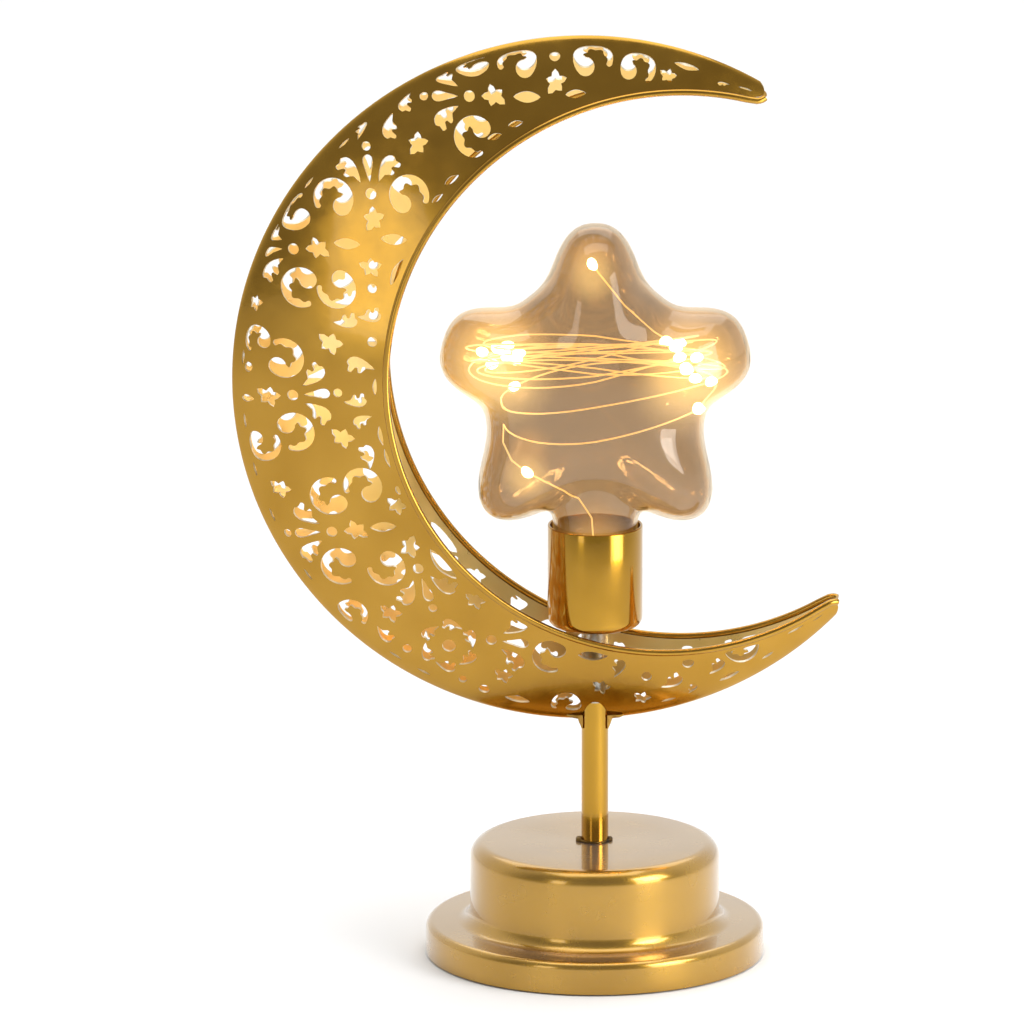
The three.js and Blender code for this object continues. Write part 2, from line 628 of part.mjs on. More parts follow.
// All motifs that keep a web of metal to those before them
function piercings() {
  const holes = [];
  for (const [degrees, inset, direction, parts] of sprays) {
    for (const [name, u, v, length, turn, hand] of parts.split(' ').flatMap((part) => spray[part])) {
      const middle = turnedBy(u, v, direction - 90).multiplyScalar(patternUnit).add(onCrescent(degrees, inset));
      holes.push(placed(name, middle, length, turn + direction - 90, hand));
    }
  }
  for (const [name, degrees, inset, length, turn, hand] of singles) {
    holes.push(placed(name, onCrescent(degrees, inset), length, turn, hand));
  }
  const heart = onCrescent(rosette.degrees, rosette.inset);
  holes.push(placed('dot', heart, rosette.dot, 0));
  for (let i = 0; i < rosette.petals; i += 1) {
    const angle = rosette.from + 360 * i / rosette.petals;
    const middle = turnedBy(rosette.reach * patternUnit, 0, angle).add(heart);
    holes.push(placed('petal', middle, rosette.petal, angle + rosette.turn));
  }
  return holes.filter((points, i) => holes.slice(0, i).every((other) => apart(points, other) > web));
}

function moonShell(facing) {
  const rows = [0, 0.02, 0.11, 0.3, 0.6, 1.05].map((share) => share * moonWidth);
  const outside = rows.map((inset) => [moonRadius - inset, gap / 2 + dish(inset)]);
  const inside = rows.map((inset) => {
    const slope = inset > 0 ? dishPower * dish(inset) / inset : 1e6;
    const long = Math.hypot(1, slope);
    return [moonRadius - inset - sheet * slope / long, gap / 2 + dish(inset) - sheet / long];
  });
  inside[0][1] = gap / 2;
  const profile = [...outside, ...inside.reverse()].map(([x, y]) => new THREE.Vector2(x, facing * y));
  const bowl = solid(new THREE.LatheGeometry([...profile, profile[0]], 32));
  const outline = new THREE.Shape(crescentOutline(beadRadius + gap, moonRadius + sheet));
  const through = 2 * moonHalfDepth;
  const crescent = new THREE.ExtrudeGeometry(outline, { depth: 2 * through, bevelEnabled: false });
  crescent.rotateX(Math.PI / 2).translate(0, through, 0);
  const cutters = piercings().map((points) => {
    const cutter = new THREE.ExtrudeGeometry(new THREE.Shape(points), { depth: through, bevelEnabled: false });
    return solid(cutter.rotateX(Math.PI / 2).translate(0, facing > 0 ? through : 0, 0));
  });
  const stemRoom = rod(stemRadius + gap, -moonRadius - sheet, -moonRadius + stemSlotHeight, 20, -moonShift);
  return cutters.reduce((shell, cutter) => shell.subtract(cutter), bowl.intersect(solid(crescent)))
    .subtract(solid(stemRoom));
}

const moon = new THREE.Group();
moon.position.set(moonCentre.x, 0, moonCentre.y);
object.add(moon);
add(moon, 'moon_front_shell', moonShell(-1), gold());
add(moon, 'moon_back_shell', moonShell(1), gold());

// Round bead along each shell's inner edge, turned in round the horns
function moonBead(facing) {
  const upper = hornEnd(upperHornAngle, 1, 0, moonRadius, 6).slice(3, -1);
  const lower = hornEnd(lowerHornAngle, -1, 0, moonRadius, 6).slice(3, -1).reverse();
  const bend = 3;
  const from = THREE.MathUtils.radToDeg(bayAngle(upper.at(-1))) + bend;
  const to = THREE.MathUtils.radToDeg(bayAngle(lower[0])) + 360 - bend;
  const inner = arc(bay.x, bay.y, bayRadius, from, to, 36).map(([x, y]) => new THREE.Vector2(x, y));
  const points = [...upper, ...inner, ...lower].map((point) => {
    const inset = Math.max(moonRadius - point.length(), 1.1 * beadDiameter);
    return [point.x, facing * (gap + dish(inset)), point.y];
  });
  return tube(points, beadDiameter, 6, 40);
}
add(moon, 'moon_rim_front', moonBead(-1), gold());
add(moon, 'moon_rim_back', moonBead(1), gold());

// Weld gussets in the corners between the stem and the crescent's lower edge
for (const side of [-1, 1]) {
  const hollow = arc(gussetSize, -gussetSize, gussetSize, 90, 180, 3).slice(1, -1);
  const corners = [[0, 0], [gussetSize, 0], ...hollow, [0, -gussetSize]];
  const outline = new THREE.Shape(corners.map(([x, z]) => new THREE.Vector2(side * x, z)));
  const gusset = new THREE.ExtrudeGeometry(outline, { depth: gussetThickness, bevelEnabled: false });
  gusset.rotateX(Math.PI / 2).translate(0, gussetThickness / 2, 0);
  add(stem, side < 0 ? 'moon_weld_left' : 'moon_weld_right', gusset, gold(),
    [side * (stemRadius + gap), 0, moonCentre.y - moonRadius - gap]);
}

// Lamp cup on the stem, held by a nut
const socket = new THREE.Group();
socket.position.set(0, 0, cupBottom);
object.add(socket);
const cupProfile = [
  [stemRadius + gap, 0],
  ...arc(cupRadius - cupFootRadius, cupFootRadius, cupFootRadius, 270, 360, 3),
  [cupRadius, cupHeight],
  [cupInner, cupHeight],
  ...arc(cupRadius - cupFootRadius, cupFootRadius, cupFootRadius - sheet, 360, 270, 2),
  [stemRadius + gap, sheet],
];
add(socket, 'socket_sleeve', turned(cupProfile, 26), gold());
const hexagon = solid(rod(nutAcross / Math.sqrt(3), 0, nutHeight, 6));
add(socket, 'stem_nut', hexagon.subtract(solid(rod(stemRadius + gap, -1, nutHeight + 1, 20))), nickel(),
  [0, 0, nutBottom - cupBottom]);

// Screw thread as a surface round Z: pairs male and female from one formula
const threadRadius = threadDiameter / 2;
function threadSurface(height, angle, clearance) {
  const phase = 2 * Math.PI * height / threadPitch - angle;
  return threadRadius + clearance - threadDepth / 2 * (1 - Math.cos(phase));
}

// A sleeve between a plain wall and the thread
function threadedSleeve(bottom, top, plainRadius, clearance) {
  const columns = 14;
  const rows = Math.round((top - bottom) / threadPitch * 4.4);
  const points = [];
  const triangles = [];
  for (let row = 0; row <= rows; row += 1) {
    const height = bottom + (top - bottom) * row / rows;
    for (let column = 0; column < columns; column += 1) {
      const angle = 2 * Math.PI * column / columns;
      const radius = threadSurface(height, angle, clearance);
      points.push(radius * Math.cos(angle), radius * Math.sin(angle), height);
    }
  }
  const plain = points.length / 3;
  for (const height of [bottom, top]) {
    for (let column = 0; column < columns; column += 1) {
      const angle = 2 * Math.PI * column / columns;
      points.push(plainRadius * Math.cos(angle), plainRadius * Math.sin(angle), height);
    }
  }
  const quad = (a, b, c, d) => triangles.push(a, b, c, a, c, d);
  for (let column = 0; column < columns; column += 1) {
    const next = (column + 1) % columns;
    for (let row = 0; row < rows; row += 1) {
      const low = row * columns;
      quad(low + column, low + next, low + columns + next, low + columns + column);
    }
    const top = rows * columns;
    quad(top + column, top + next, plain + columns + next, plain + columns + column);
    quad(plain + columns + column, plain + columns + next, plain + next, plain + column);
    quad(plain + column, plain + next, next, column);
  }
  const geometry = new THREE.BufferGeometry();
  geometry.setAttribute('position', new THREE.Float32BufferAttribute(points, 3));
  geometry.setIndex(triangles);
  return geometry;
}

// Plastic holder with the threaded contact and the centre contact
const shellContactWall = threadRadius + threadClearance + capWall;
const holderBore = shellContactWall + gap;
const holderRadius = cupInner - gap;
const holder = new THREE.Group();
holder.position.set(0, 0, holderBottom - cupBottom);
socket.add(holder);
const leadRoom = rod(leadDiameter + 1.6, -1, holderFloor + 1, 16);
add(holder, 'socket_insert', solid(rod(holderRadius, 0, holderHeight, 32))
  .subtract(solid(rod(holderBore, holderFloor, holderHeight + 1, 28)))
  .subtract(solid(leadRoom)), whitePlastic());
add(holder, 'socket_shell_contact', threadedSleeve(holderFloor + gap, holderHeight - 1, shellContactWall,
  threadClearance), brass());
const centreBottom = holderFloor + gap;
const centreTop = centreBottom + contactThickness;
add(holder, 'socket_center_contact', rod(leadDiameter + 2.6, centreBottom, centreTop, 16), brass());

// Bulb: everything here turns and lifts together
const bulb = new THREE.Group();
object.add(bulb);
const tipBottom = holderBottom + centreTop + gap;
const capBottom = tipBottom + contactThickness;
const gasketBottom = holderTop + gap;
const gasketTop = gasketBottom + gasketThickness;
const shoulder = gasketTop + gap;
const capTop = shoulder - gap;
const capBore = threadRadius - threadDepth - capWall;
const neckTipRadius = Math.min(neckTip / 2, capBore - gap);
const capContactRadius = 2.6;
const capFloor = turned(ringSection(capContactRadius + gap, capBore + capWall / 2, 0, capWall), 16)
  .translate(0, 0, capBottom - holderBottom);
add(bulb, 'bulb_cap', solid(threadedSleeve(capBottom - holderBottom, capTop - holderBottom, capBore, 0))
  .add(solid(capFloor)), nickel(), [0, 0, holderBottom]);
add(bulb, 'bulb_cap_contact', turned([
  [0, tipBottom],
  [0.7 * capContactRadius, tipBottom],
  [capContactRadius, capBottom + gap / 3],
  [capContactRadius, capBottom + 2 * capWall],
  [0, capBottom + 2 * capWall],
], 14), brass());
add(object, 'bulb_gasket', turned(ringSection(threadRadius + 1.4, cupInner - 0.5, gasketBottom, gasketTop), 28),
  finish(0x202020, 0.9, 0));

// Star of blown glass: five rounded arms, swollen toward the middle
function starRadius(angle, tip, notch) {
  const degrees = THREE.MathUtils.radToDeg(angle);
  return starArms.reduce((radius, [direction, spread, share, bluntness]) => {
    const off = Math.abs(THREE.MathUtils.euclideanModulo(degrees - direction + 180, 360) - 180);
    return radius + (share * tip - notch) * Math.exp(-((off / spread) ** bluntness));
  }, notch);
}

function starSolid(inset) {
  const columns = 34;
  const rows = [0.5, 0.8, 0.95, 1];
  const depth = starHalfDepth - inset;
  const points = [0, -depth, 0, 0, depth, 0];
  const triangles = [];
  const ring = (side, row) => (row === rows.length - 1 ? 2 + (rows.length - 1) * columns * 2
    : 2 + (side * (rows.length - 1) + row) * columns);
  const addRing = (share, y) => {
    for (let i = 0; i < columns; i += 1) {
      const angle = 2 * Math.PI * i / columns + radians(90);
      const radius = share * starRadius(angle, starTip - inset, starNotch - inset);
      points.push(radius * Math.cos(angle), y, radius * Math.sin(angle));
    }
  };
  for (const side of [-1, 1]) {
    for (const share of rows.slice(0, -1)) addRing(share, side * depth * Math.sqrt(1 - share ** 3));
  }
  addRing(1, 0);
  for (const side of [0, 1]) {
    for (let i = 0; i < columns; i += 1) {
      const next = (i + 1) % columns;
      const turn = (a, b, c) => triangles.push(...(side ? [a, c, b] : [a, b, c]));
      turn(side, ring(side, 0) + i, ring(side, 0) + next);
      for (let row = 0; row < rows.length - 1; row += 1) {
        const low = ring(side, row);
        const high = ring(side, row + 1);
        turn(low + i, high + i, high + next);
        turn(low + i, high + next, low + next);
      }
    }
  }
  const geometry = new THREE.BufferGeometry();
  geometry.setAttribute('position', new THREE.Float32BufferAttribute(points, 3));
  geometry.setIndex(triangles);
  return geometry;
}

const starZ = cupTop + starRise;
const neckRadius = neckDiameter / 2;
const shoulderHeight = 4;
function neckProfile(inset, bottom) {
  const out = neckRadius - inset;
  const low = neckTipRadius - inset;
  const curve = arc(0, 0, 1, 270, 360, 4).map(([x, y]) => [low + (out - low) * x,
    shoulder + inset + shoulderHeight * (1 + y)]);
  return [[0, bottom], [low, bottom], ...curve, [out, starZ - starNotch * 0.7], [0, starZ - starNotch * 0.7]];
}
const glassBottom = capBottom + 4;
const glassOutside = solid(starSolid(0).translate(0, 0, starZ)).add(solid(turned(neckProfile(0, glassBottom), 24)));
const glassInside = solid(starSolid(glassWall).translate(0, 0, starZ))
  .add(solid(turned(neckProfile(glassWall, glassBottom - 1), 24)));
add(bulb, 'bulb_glass', glassOutside.subtract(glassInside), finish(0xd9a066, 0.05, 0));

// Light string: copper wire wound from arm to arm. Each loop lies inside the one before it, seen from above,
// and turns at other heights, so the strands cross in front view but keep clear of each other.
const windDepth = starHalfDepth - glassWall - wallRoom + 0.2;
const depthStep = (windDepth - innerDepth) / windingLoops;

// Value of a list between two of its places
function between(list, place) {
  const low = THREE.MathUtils.clamp(Math.floor(place), 0, list.length - 2);
  return THREE.MathUtils.lerp(list[low], list[low + 1], THREE.MathUtils.clamp(place - low, 0, 1));
}

// How far out an arm has room for the winding at a height
function armReach(height) {
  let reach = 0;
  const step = 0.02;
  while (Math.hypot(reach, height) < starRadius(Math.atan2(height, reach), starTip, starNotch)
    - glassWall - wallRoom) reach += step;
  return reach;
}

function windingPoint(turns) {
  const phase = 2 * Math.PI * turns;
  const left = between(leftTurns, turns);
  const right = between(rightTurns, turns);
  const reach = armReach(Math.sin(phase) > 0 ? right : left) - reachStep * Math.max(turns, 0);
  return new THREE.Vector3(
    reach * Math.sin(phase),
    (depthStep * turns - windDepth) * Math.cos(phase),
    (left + right + (right - left) * Math.sin(phase)) / 2 - between(frontSags, turns) * Math.cos(phase),
  );
}

// Up from the neck, past a light low in the left, round the loops, and on into the top arm
function windingStations() {
  const low = glassBottom + 1 - starZ;
  const plain = (...point) => [new THREE.Vector3(...point), wireDiameter / 2];
  const stations = [plain(0, -1, low), plain(0, -1, low + 5), plain(-1, -4, -0.8 * starTip),
    plain(-5, -6, -0.98 * starNotch)];
  addLight(stations, new THREE.Vector3(-20, -10, -0.72 * starNotch), new THREE.Vector3(-1, 0, 0.9));
  stations.push(plain(-26, -7, -0.52 * starNotch));
  const stepsPerLight = stepsPerLoop / 2;
  for (let i = -stepsPerLoop / 4 + 0.5; i <= (windingLoops - 0.75) * stepsPerLoop; i += 1) {
    const point = windingPoint(i / stepsPerLoop);
    const stagger = Math.floor(i / stepsPerLoop / 2) % 2;
    if (Math.floor(i) % stepsPerLight === lightStep - stagger) {
      addLight(stations, point, windingPoint((i + 1) / stepsPerLoop).sub(windingPoint((i - 1) / stepsPerLoop)));
    } else {
      stations.push([point, wireDiameter / 2]);
    }
  }
  stations.push(plain(0.45 * starTip, 1, 0.28 * starTip), plain(0.27 * starTip, 1.5, 0.41 * starTip),
    plain(0.1 * starTip, 1, 0.6 * starTip));
  addLight(stations, new THREE.Vector3(-1, 0, 0.76 * starTip), new THREE.Vector3(-0.5, 0, 1));
  return stations;
}

// A light bead: the tube swells and narrows again over its length
function addLight(stations, point, heading) {
  const along = heading.normalize();
  for (const [offset, diameter] of [[-0.5, wireDiameter], [0, ledDiameter], [0.5, wireDiameter]]) {
    stations.push([point.clone().addScaledVector(along, offset * ledLength), diameter / 2]);
  }
}

// One unbroken tube through the stations, each a point and a radius
function swelledTube(stations, sides) {
  const points = [];
  const triangles = [];
  const normal = new THREE.Vector3(1, 0, 0);
  stations.forEach(([centre, radius], i) => {
    const before = stations[Math.max(i - 1, 0)][0];
    const after = stations[Math.min(i + 1, stations.length - 1)][0];
    const tangent = after.clone().sub(before).normalize();
    normal.addScaledVector(tangent, -normal.dot(tangent)).normalize();
    const side = new THREE.Vector3().crossVectors(tangent, normal);
    for (const [x, y] of arc(0, 0, radius, 0, 360, sides).slice(0, -1)) {
      points.push(...centre.clone().addScaledVector(normal, x).addScaledVector(side, y).toArray());
    }
  });
  for (let i = 0; i < stations.length - 1; i += 1) {
    for (let k = 0; k < sides; k += 1) {
      const [a, b] = [i * sides + k, i * sides + (k + 1) % sides];
      triangles.push(a, b, b + sides, a, b + sides, a + sides);
    }
  }
  const last = (stations.length - 1) * sides;
  for (let k = 1; k < sides - 1; k += 1) triangles.push(0, k + 1, k, last, last + k, last + k + 1);
  const geometry = new THREE.BufferGeometry();
  geometry.setAttribute('position', new THREE.Float32BufferAttribute(points, 3));
  geometry.setIndex(triangles);
  return geometry;
}

// Least gap between stretches of the wire that aren't neighbours, surface to surface
function leastGap(stations) {
  const line = new THREE.Line3();
  const near = new THREE.Vector3();
  const probe = new THREE.Vector3();
  let least = Infinity;
  for (let i = 0; i < stations.length - 1; i += 1) {
    for (const share of [0, 0.25, 0.5, 0.75]) {
      probe.lerpVectors(stations[i][0], stations[i + 1][0], share);
      const own = THREE.MathUtils.lerp(stations[i][1], stations[i + 1][1], share);
      for (let k = 0; k < stations.length - 1; k += 1) {
        if (Math.abs(i - k) < 6) continue;
        line.set(stations[k][0], stations[k + 1][0]);
        const along = line.closestPointToPointParameter(probe, true);
        const other = THREE.MathUtils.lerp(stations[k][1], stations[k + 1][1], along);
        least = Math.min(least, line.at(along, near).distanceTo(probe) - own - other);
      }
    }
  }
  return least;
}

const winding = windingStations();
console.log(`Light string: least gap to itself ${leastGap(winding).toFixed(2)} mm`);
add(bulb, 'led_string', swelledTube(winding, 5), finish(0xc98a4a, 0.35, 1), [0, 0, starZ]);

// The finished object is centred over the origin
const extent = new THREE.Box3().setFromObject(object);
object.position.x = -(extent.min.x + extent.max.x) / 2;

export default object;
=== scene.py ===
import math

import bmesh
import bpy
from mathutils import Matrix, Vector


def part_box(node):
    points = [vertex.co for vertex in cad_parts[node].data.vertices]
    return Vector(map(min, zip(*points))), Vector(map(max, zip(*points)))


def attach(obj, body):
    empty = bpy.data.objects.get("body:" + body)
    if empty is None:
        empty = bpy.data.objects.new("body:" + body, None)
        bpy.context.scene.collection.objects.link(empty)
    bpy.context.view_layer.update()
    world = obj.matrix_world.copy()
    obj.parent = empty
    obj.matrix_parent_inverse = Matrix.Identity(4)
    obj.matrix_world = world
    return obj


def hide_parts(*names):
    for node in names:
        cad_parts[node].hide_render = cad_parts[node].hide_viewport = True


# Moon and star light: a pierced crescent and a glass star on a stemmed base, built over the CAD frame.
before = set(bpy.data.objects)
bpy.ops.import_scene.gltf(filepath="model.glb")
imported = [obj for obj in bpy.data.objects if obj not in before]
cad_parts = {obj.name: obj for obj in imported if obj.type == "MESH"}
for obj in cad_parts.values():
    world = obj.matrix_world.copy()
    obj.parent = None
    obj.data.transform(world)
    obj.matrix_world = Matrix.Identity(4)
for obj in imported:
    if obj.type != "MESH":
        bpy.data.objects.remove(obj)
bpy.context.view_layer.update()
mm = 0.001


# Small tools
def hexColour(code):
    parts = [int(code[i:i + 2], 16) / 255 for i in (0, 2, 4)]
    return [p / 12.92 if p <= 0.04045 else ((p + 0.055) / 1.055) ** 2.4 for p in parts] + [1.0]


def boxCentre(node):
    low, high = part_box(node)
    return (low + high) / 2


def arcPoints(cx, cy, radius, start, end, steps):
    turns = [math.radians(start + (end - start) * i / steps) for i in range(steps + 1)]
    return [(cx + radius * math.cos(a), cy + radius * math.sin(a)) for a in turns]


def roundedLine(points, passes=2):
    # a closed outline through its points, with passes steps from one to the next
    curve = []
    count = len(points)
    for i in range(count):
        a, b, c, d = [points[(i + k - 1) % count] for k in range(4)]
        for j in range(passes):
            t = j / passes
            curve.append(tuple(0.5 * (2 * b[k] + (c[k] - a[k]) * t
                                      + (2 * a[k] - 5 * b[k] + 4 * c[k] - d[k]) * t * t
                                      + (3 * b[k] - a[k] - 3 * c[k] + d[k]) * t ** 3) for k in (0, 1)))
    return curve


def addObject(name, data):
    item = bpy.data.objects.new(name, data)
    bpy.context.scene.collection.objects.link(item)
    return item


def finishPiece(name, mesh, materials, body, replaced=(), sharp=35):
    piece = addObject(name, mesh)
    # clearing the list of materials sets every face's index to 0, so the indices are put back
    kinds = [face.material_index for face in mesh.polygons]
    mesh.materials.clear()
    for material in materials:
        mesh.materials.append(material)
    mesh.polygons.foreach_set("material_index", kinds)
    mesh.shade_smooth()
    mesh.set_sharp_from_angle(angle=math.radians(sharp))
    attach(piece, body)
    if replaced:
        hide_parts(*replaced)


def meshFrom(bm, name, mergeDistance=0.01 * mm, recalc=True):
    if mergeDistance:
        bmesh.ops.remove_doubles(bm, verts=bm.verts, dist=mergeDistance)
    if recalc:
        bmesh.ops.recalc_face_normals(bm, faces=bm.faces)
    mesh = bpy.data.meshes.new(name)
    bm.to_mesh(mesh)
    bm.free()
    return mesh


def bakedMesh(mesh, name, *modifiers):
    # runs modifiers on a mesh or a curve and gives back the mesh that results
    holder = addObject(name + "_form", mesh)
    for kind, settings in modifiers:
        modifier = holder.modifiers.new(kind, kind)
        for key, value in settings.items():
            setattr(modifier, key, value)
    graph = bpy.context.evaluated_depsgraph_get()
    result = bpy.data.meshes.new_from_object(holder.evaluated_get(graph))
    bpy.data.objects.remove(holder)
    result.name = name
    return result


def spunForm(profile, steps, centre=(0, 0, 0), closed=True):
    # turns a profile of (radius, height) pairs, in millimetres, about a vertical axis
    bm = bmesh.new()
    verts = [bm.verts.new((r * mm, 0, z * mm)) for r, z in profile]
    edges = [bm.edges.new(pair) for pair in zip(verts, verts[1:])]
    if closed:
        edges.append(bm.edges.new((verts[-1], verts[0])))
    bmesh.ops.spin(bm, geom=verts + edges, cent=(0, 0, 0), axis=(0, 0, 1), angle=2 * math.pi,
                   steps=steps, use_merge=True)
    bmesh.ops.remove_doubles(bm, verts=bm.verts, dist=0.005 * mm)
    bmesh.ops.translate(bm, verts=bm.verts, vec=centre)
    return bm


def sweptMesh(name, points, radius, sides=12, closed=False, radii=None):
    # a round bar along a path, from a curve with a round bevel
    curve = bpy.data.curves.new(name, "CURVE")
    curve.dimensions = "3D"
    curve.bevel_depth = radius
    curve.bevel_resolution = max(0, sides // 4)
    curve.resolution_u = 4
    curve.use_fill_caps = True
    spline = curve.splines.new("POLY")
    spline.points.add(len(points) - 1)
    for i, point in enumerate(points):
        spline.points[i].co = (*point, 1)
        if radii:
            spline.points[i].radius = radii[i]
    spline.use_cyclic_u = closed
    mesh = bakedMesh(curve, name)
    bm = bmesh.new()
    bm.from_mesh(mesh)
    bpy.data.meshes.remove(mesh)
    return meshFrom(bm, name, 0.002 * mm)


# Materials
def setInputs(tree, node, values):
    for key, value in values.items():
        if isinstance(value, bpy.types.NodeSocket):
            tree.links.new(value, node.inputs[key])
        else:
            node.inputs[key].default_value = value


def addNode(tree, kind, output, values, **settings):
    node = tree.nodes.new(kind)
    for key, value in settings.items():
        setattr(node, key, value)
    setInputs(tree, node, values)
    return node.outputs[output]


def newMaterial(name):
    material = bpy.data.materials.new(name)
    material.use_nodes = True
    tree = material.node_tree
    place = addNode(tree, "ShaderNodeTexCoord", "Object", {})
    return material, tree, tree.nodes["Principled BSDF"], place


def noiseNode(tree, place, size, detail, **more):
    # a noise pattern with marks of a size in millimetres
    return addNode(tree, "ShaderNodeTexNoise", "Fac",
                   {"Vector": place, "Scale": 0.5 / (size * mm), "Detail": detail, **more})


def rangeNode(tree, value, given, result=(0, 1), **settings):
    # spreads the values between the two given over the two of the result
    return addNode(tree, "ShaderNodeMapRange", "Result",
                   {"Value": value, "From Min": given[0], "From Max": given[1],
                    "To Min": result[0], "To Max": result[1]}, **settings)


def blendNode(tree, share, start, end):
    # from one colour to another by a share
    return addNode(tree, "ShaderNodeMix", 2, {"Factor": share, 6: hexColour(start), 7: hexColour(end)},
                   data_type="RGBA")


def bumpNode(tree, height, depth, **more):
    return addNode(tree, "ShaderNodeBump", "Normal", {"Height": height, "Distance": depth * mm, **more})


spread = (0.3, 0.7)  # the middle of a noise pattern's range, which is what is spread over a finish

# Each pattern: size of its marks in millimetres, and detail
gold = {"deep": "aa7e24", "pale": "bd9034", "peelDepth": 0.004, "coatRough": 0.05, "sheenRough": 0.3,
        "turn": 0.25,
        "patterns": {"blotch": (14, 3), "speck": (3.5, 4), "ripple": (18, 1), "peel": (1.3, 1)}}


def goldLacquer(name, deep, pale, rough=(0.14, 0.24), wave=0.04, coat=0.4, stretch=0.0, bloom=0.0,
                metal=1.0, peel=gold["peelDepth"], paintedGlow=0.0):
    # Gold lacquer sprayed over pressed steel: warm metal, faintly uneven in tone, with the spray's fine
    # orange peel and the press's slow waves in its reflections. Spun parts draw their reflections out
    # upright, and a bloom on the lacquer turns them pale where they are seen along the surface.
    material, tree, shader, place = newMaterial(name)
    noise = {}
    for pattern, (size, detail) in gold["patterns"].items():
        noise[pattern] = noiseNode(tree, place, size, detail)
    colour = blendNode(tree, rangeNode(tree, noise["blotch"], spread), deep, pale)
    roughness = rangeNode(tree, noise["speck"], spread, rough)
    peeled = bumpNode(tree, noise["peel"], peel, Normal=bumpNode(tree, noise["ripple"], wave))
    setInputs(tree, shader, {"Base Color": colour, "Metallic": metal, "Roughness": roughness,
                             "Normal": peeled, "Coat Weight": coat, "Coat Roughness": gold["coatRough"],
                             "Anisotropic": stretch, "Anisotropic Rotation": gold["turn"],
                             "Sheen Weight": bloom, "Sheen Roughness": gold["sheenRough"]})
    # painted light: a given glow makes the lacquer shine in its own colour
    if paintedGlow:
        setInputs(tree, shader, {"Emission Color": colour, "Emission Strength": paintedGlow})
    if stretch:
        upright = addNode(tree, "ShaderNodeTangent", "Tangent", {}, direction_type="RADIAL", axis="Z")
        setInputs(tree, shader, {"Tangent": upright})
    return material


plain = {"edge": 0.15, "rough": 0.65, "grain": 6, "grainDepth": 0.01}


def plainFinish(name, under, over, size, share, rough, metallic=0.0):
    # a plain finish with scattered marks of a second colour, for small and inner pieces
    material, tree, shader, place = newMaterial(name)
    marks = noiseNode(tree, place, size, 4, Roughness=plain["rough"])
    shown = rangeNode(tree, marks, (share - plain["edge"], share + plain["edge"]))
    grain = noiseNode(tree, place, size / plain["grain"], 2)
    setInputs(tree, shader, {"Base Color": blendNode(tree, shown, under, over), "Metallic": metallic,
                             "Roughness": rangeNode(tree, marks, spread, rough),
                             "Normal": bumpNode(tree, grain, plain["grainDepth"])})
    return material


goldSkin = goldLacquer("gold_lacquer_on_pressed_steel", gold["deep"], gold["pale"])
# The sheets' inner faces throw the light of the star's string to and fro, which a painted glow in the
# lacquer's own colour stands for
goldInside = goldLacquer("gold_lacquer_inside", "e8c06a", "f2d08a", (0.26, 0.4), 0.02, 0.3,
                         metal=0.9, paintedGlow=0.05)
goldBase = goldLacquer("gold_lacquer_on_spun_steel", "ae842a", "bf943a", (0.25, 0.28), 0.004, 1.0,
                       stretch=0.65, bloom=0.3, peel=0.0008)
goldTube = goldLacquer("gold_lacquer_on_drawn_tube", "a87c1a", "bc8e26", (0.13, 0.17), 0.01, 0.5,
                       bloom=0.05)
weldGold = goldLacquer("gold_lacquer_over_weld", "6e5528", "b48a3c", (0.25, 0.45), 0.3, 0.3)
# Steel by the stem's foot was darkened by the heat of welding and only partly covered by the lacquer
heatedSteel = plainFinish("heat_darkened_weld", "332f2a", "9a7838", 2.4, 0.55, (0.35, 0.55), 1.0)
# Punched steel edge: the lacquer is thin on the cut, so the pale grey of the steel shows through
cutEdge = plainFinish("punched_steel_edge", "f0ead8", "cdbf9c", 2.0, 0.5, (0.35, 0.5), 0.7)
nickelPlate = plainFinish("nickel_plated_steel", "c9c6be", "9d9a92", 3.0, 0.5, (0.2, 0.4), 1.0)
contactBrass = plainFinish("stamped_brass", "caa450", "9a7834", 2.5, 0.5, (0.25, 0.45), 1.0)
blackAbs = plainFinish("moulded_black_abs", "1b1b1c", "242425", 1.2, 0.5, (0.42, 0.6))
whiteAbs = plainFinish("moulded_white_nylon", "e4e0d6", "d6d0c2", 2.0, 0.5, (0.4, 0.55))
footRubber = plainFinish("moulded_foot_rubber", "202020", "2e2d2b", 1.5, 0.5, (0.7, 0.9))
gasketRubber = plainFinish("moulded_brown_silicone", "c8a878", "dcc198", 2.0, 0.5, (0.35, 0.5))
cellJacket = plainFinish("shrunk_pvc_jacket", "3f6f45", "35603c", 6.0, 0.5, (0.25, 0.4))
boardGreen = plainFinish("fr4_solder_mask", "1f5a34", "2a6b3f", 1.5, 0.5, (0.3, 0.45))
redPvc = plainFinish("red_pvc_lead", "a31f1c", "b32c26", 2.0, 0.5, (0.35, 0.5))
blackPvc = plainFinish("black_pvc_lead", "151515", "222222", 2.0, 0.5, (0.35, 0.5))

# Painted pools of light in the glass, round lights of the string: millimetres from the stem's axis and
# up, reach, share of the full painted glow
glass = {"clear": "c6b299", "edge": "f4cb86", "paintedGlow": "ffd27a", "streak": 30, "wave": 12,
         "waveDepth": 0.12, "edgeBlend": 0.35, "paintedEdgeGlow": 0.55, "streakShare": 0.12,
         "rough": 0.015, "index": 1.47, "strength": 0.42,
         "lights": [(-29, 181, 22, 0.9), (28, 179, 22, 0.9), (-1, 209.5, 10, 0.6),
                    (-20, 149, 10, 0.6), (0, 126, 16, 0.4)]}


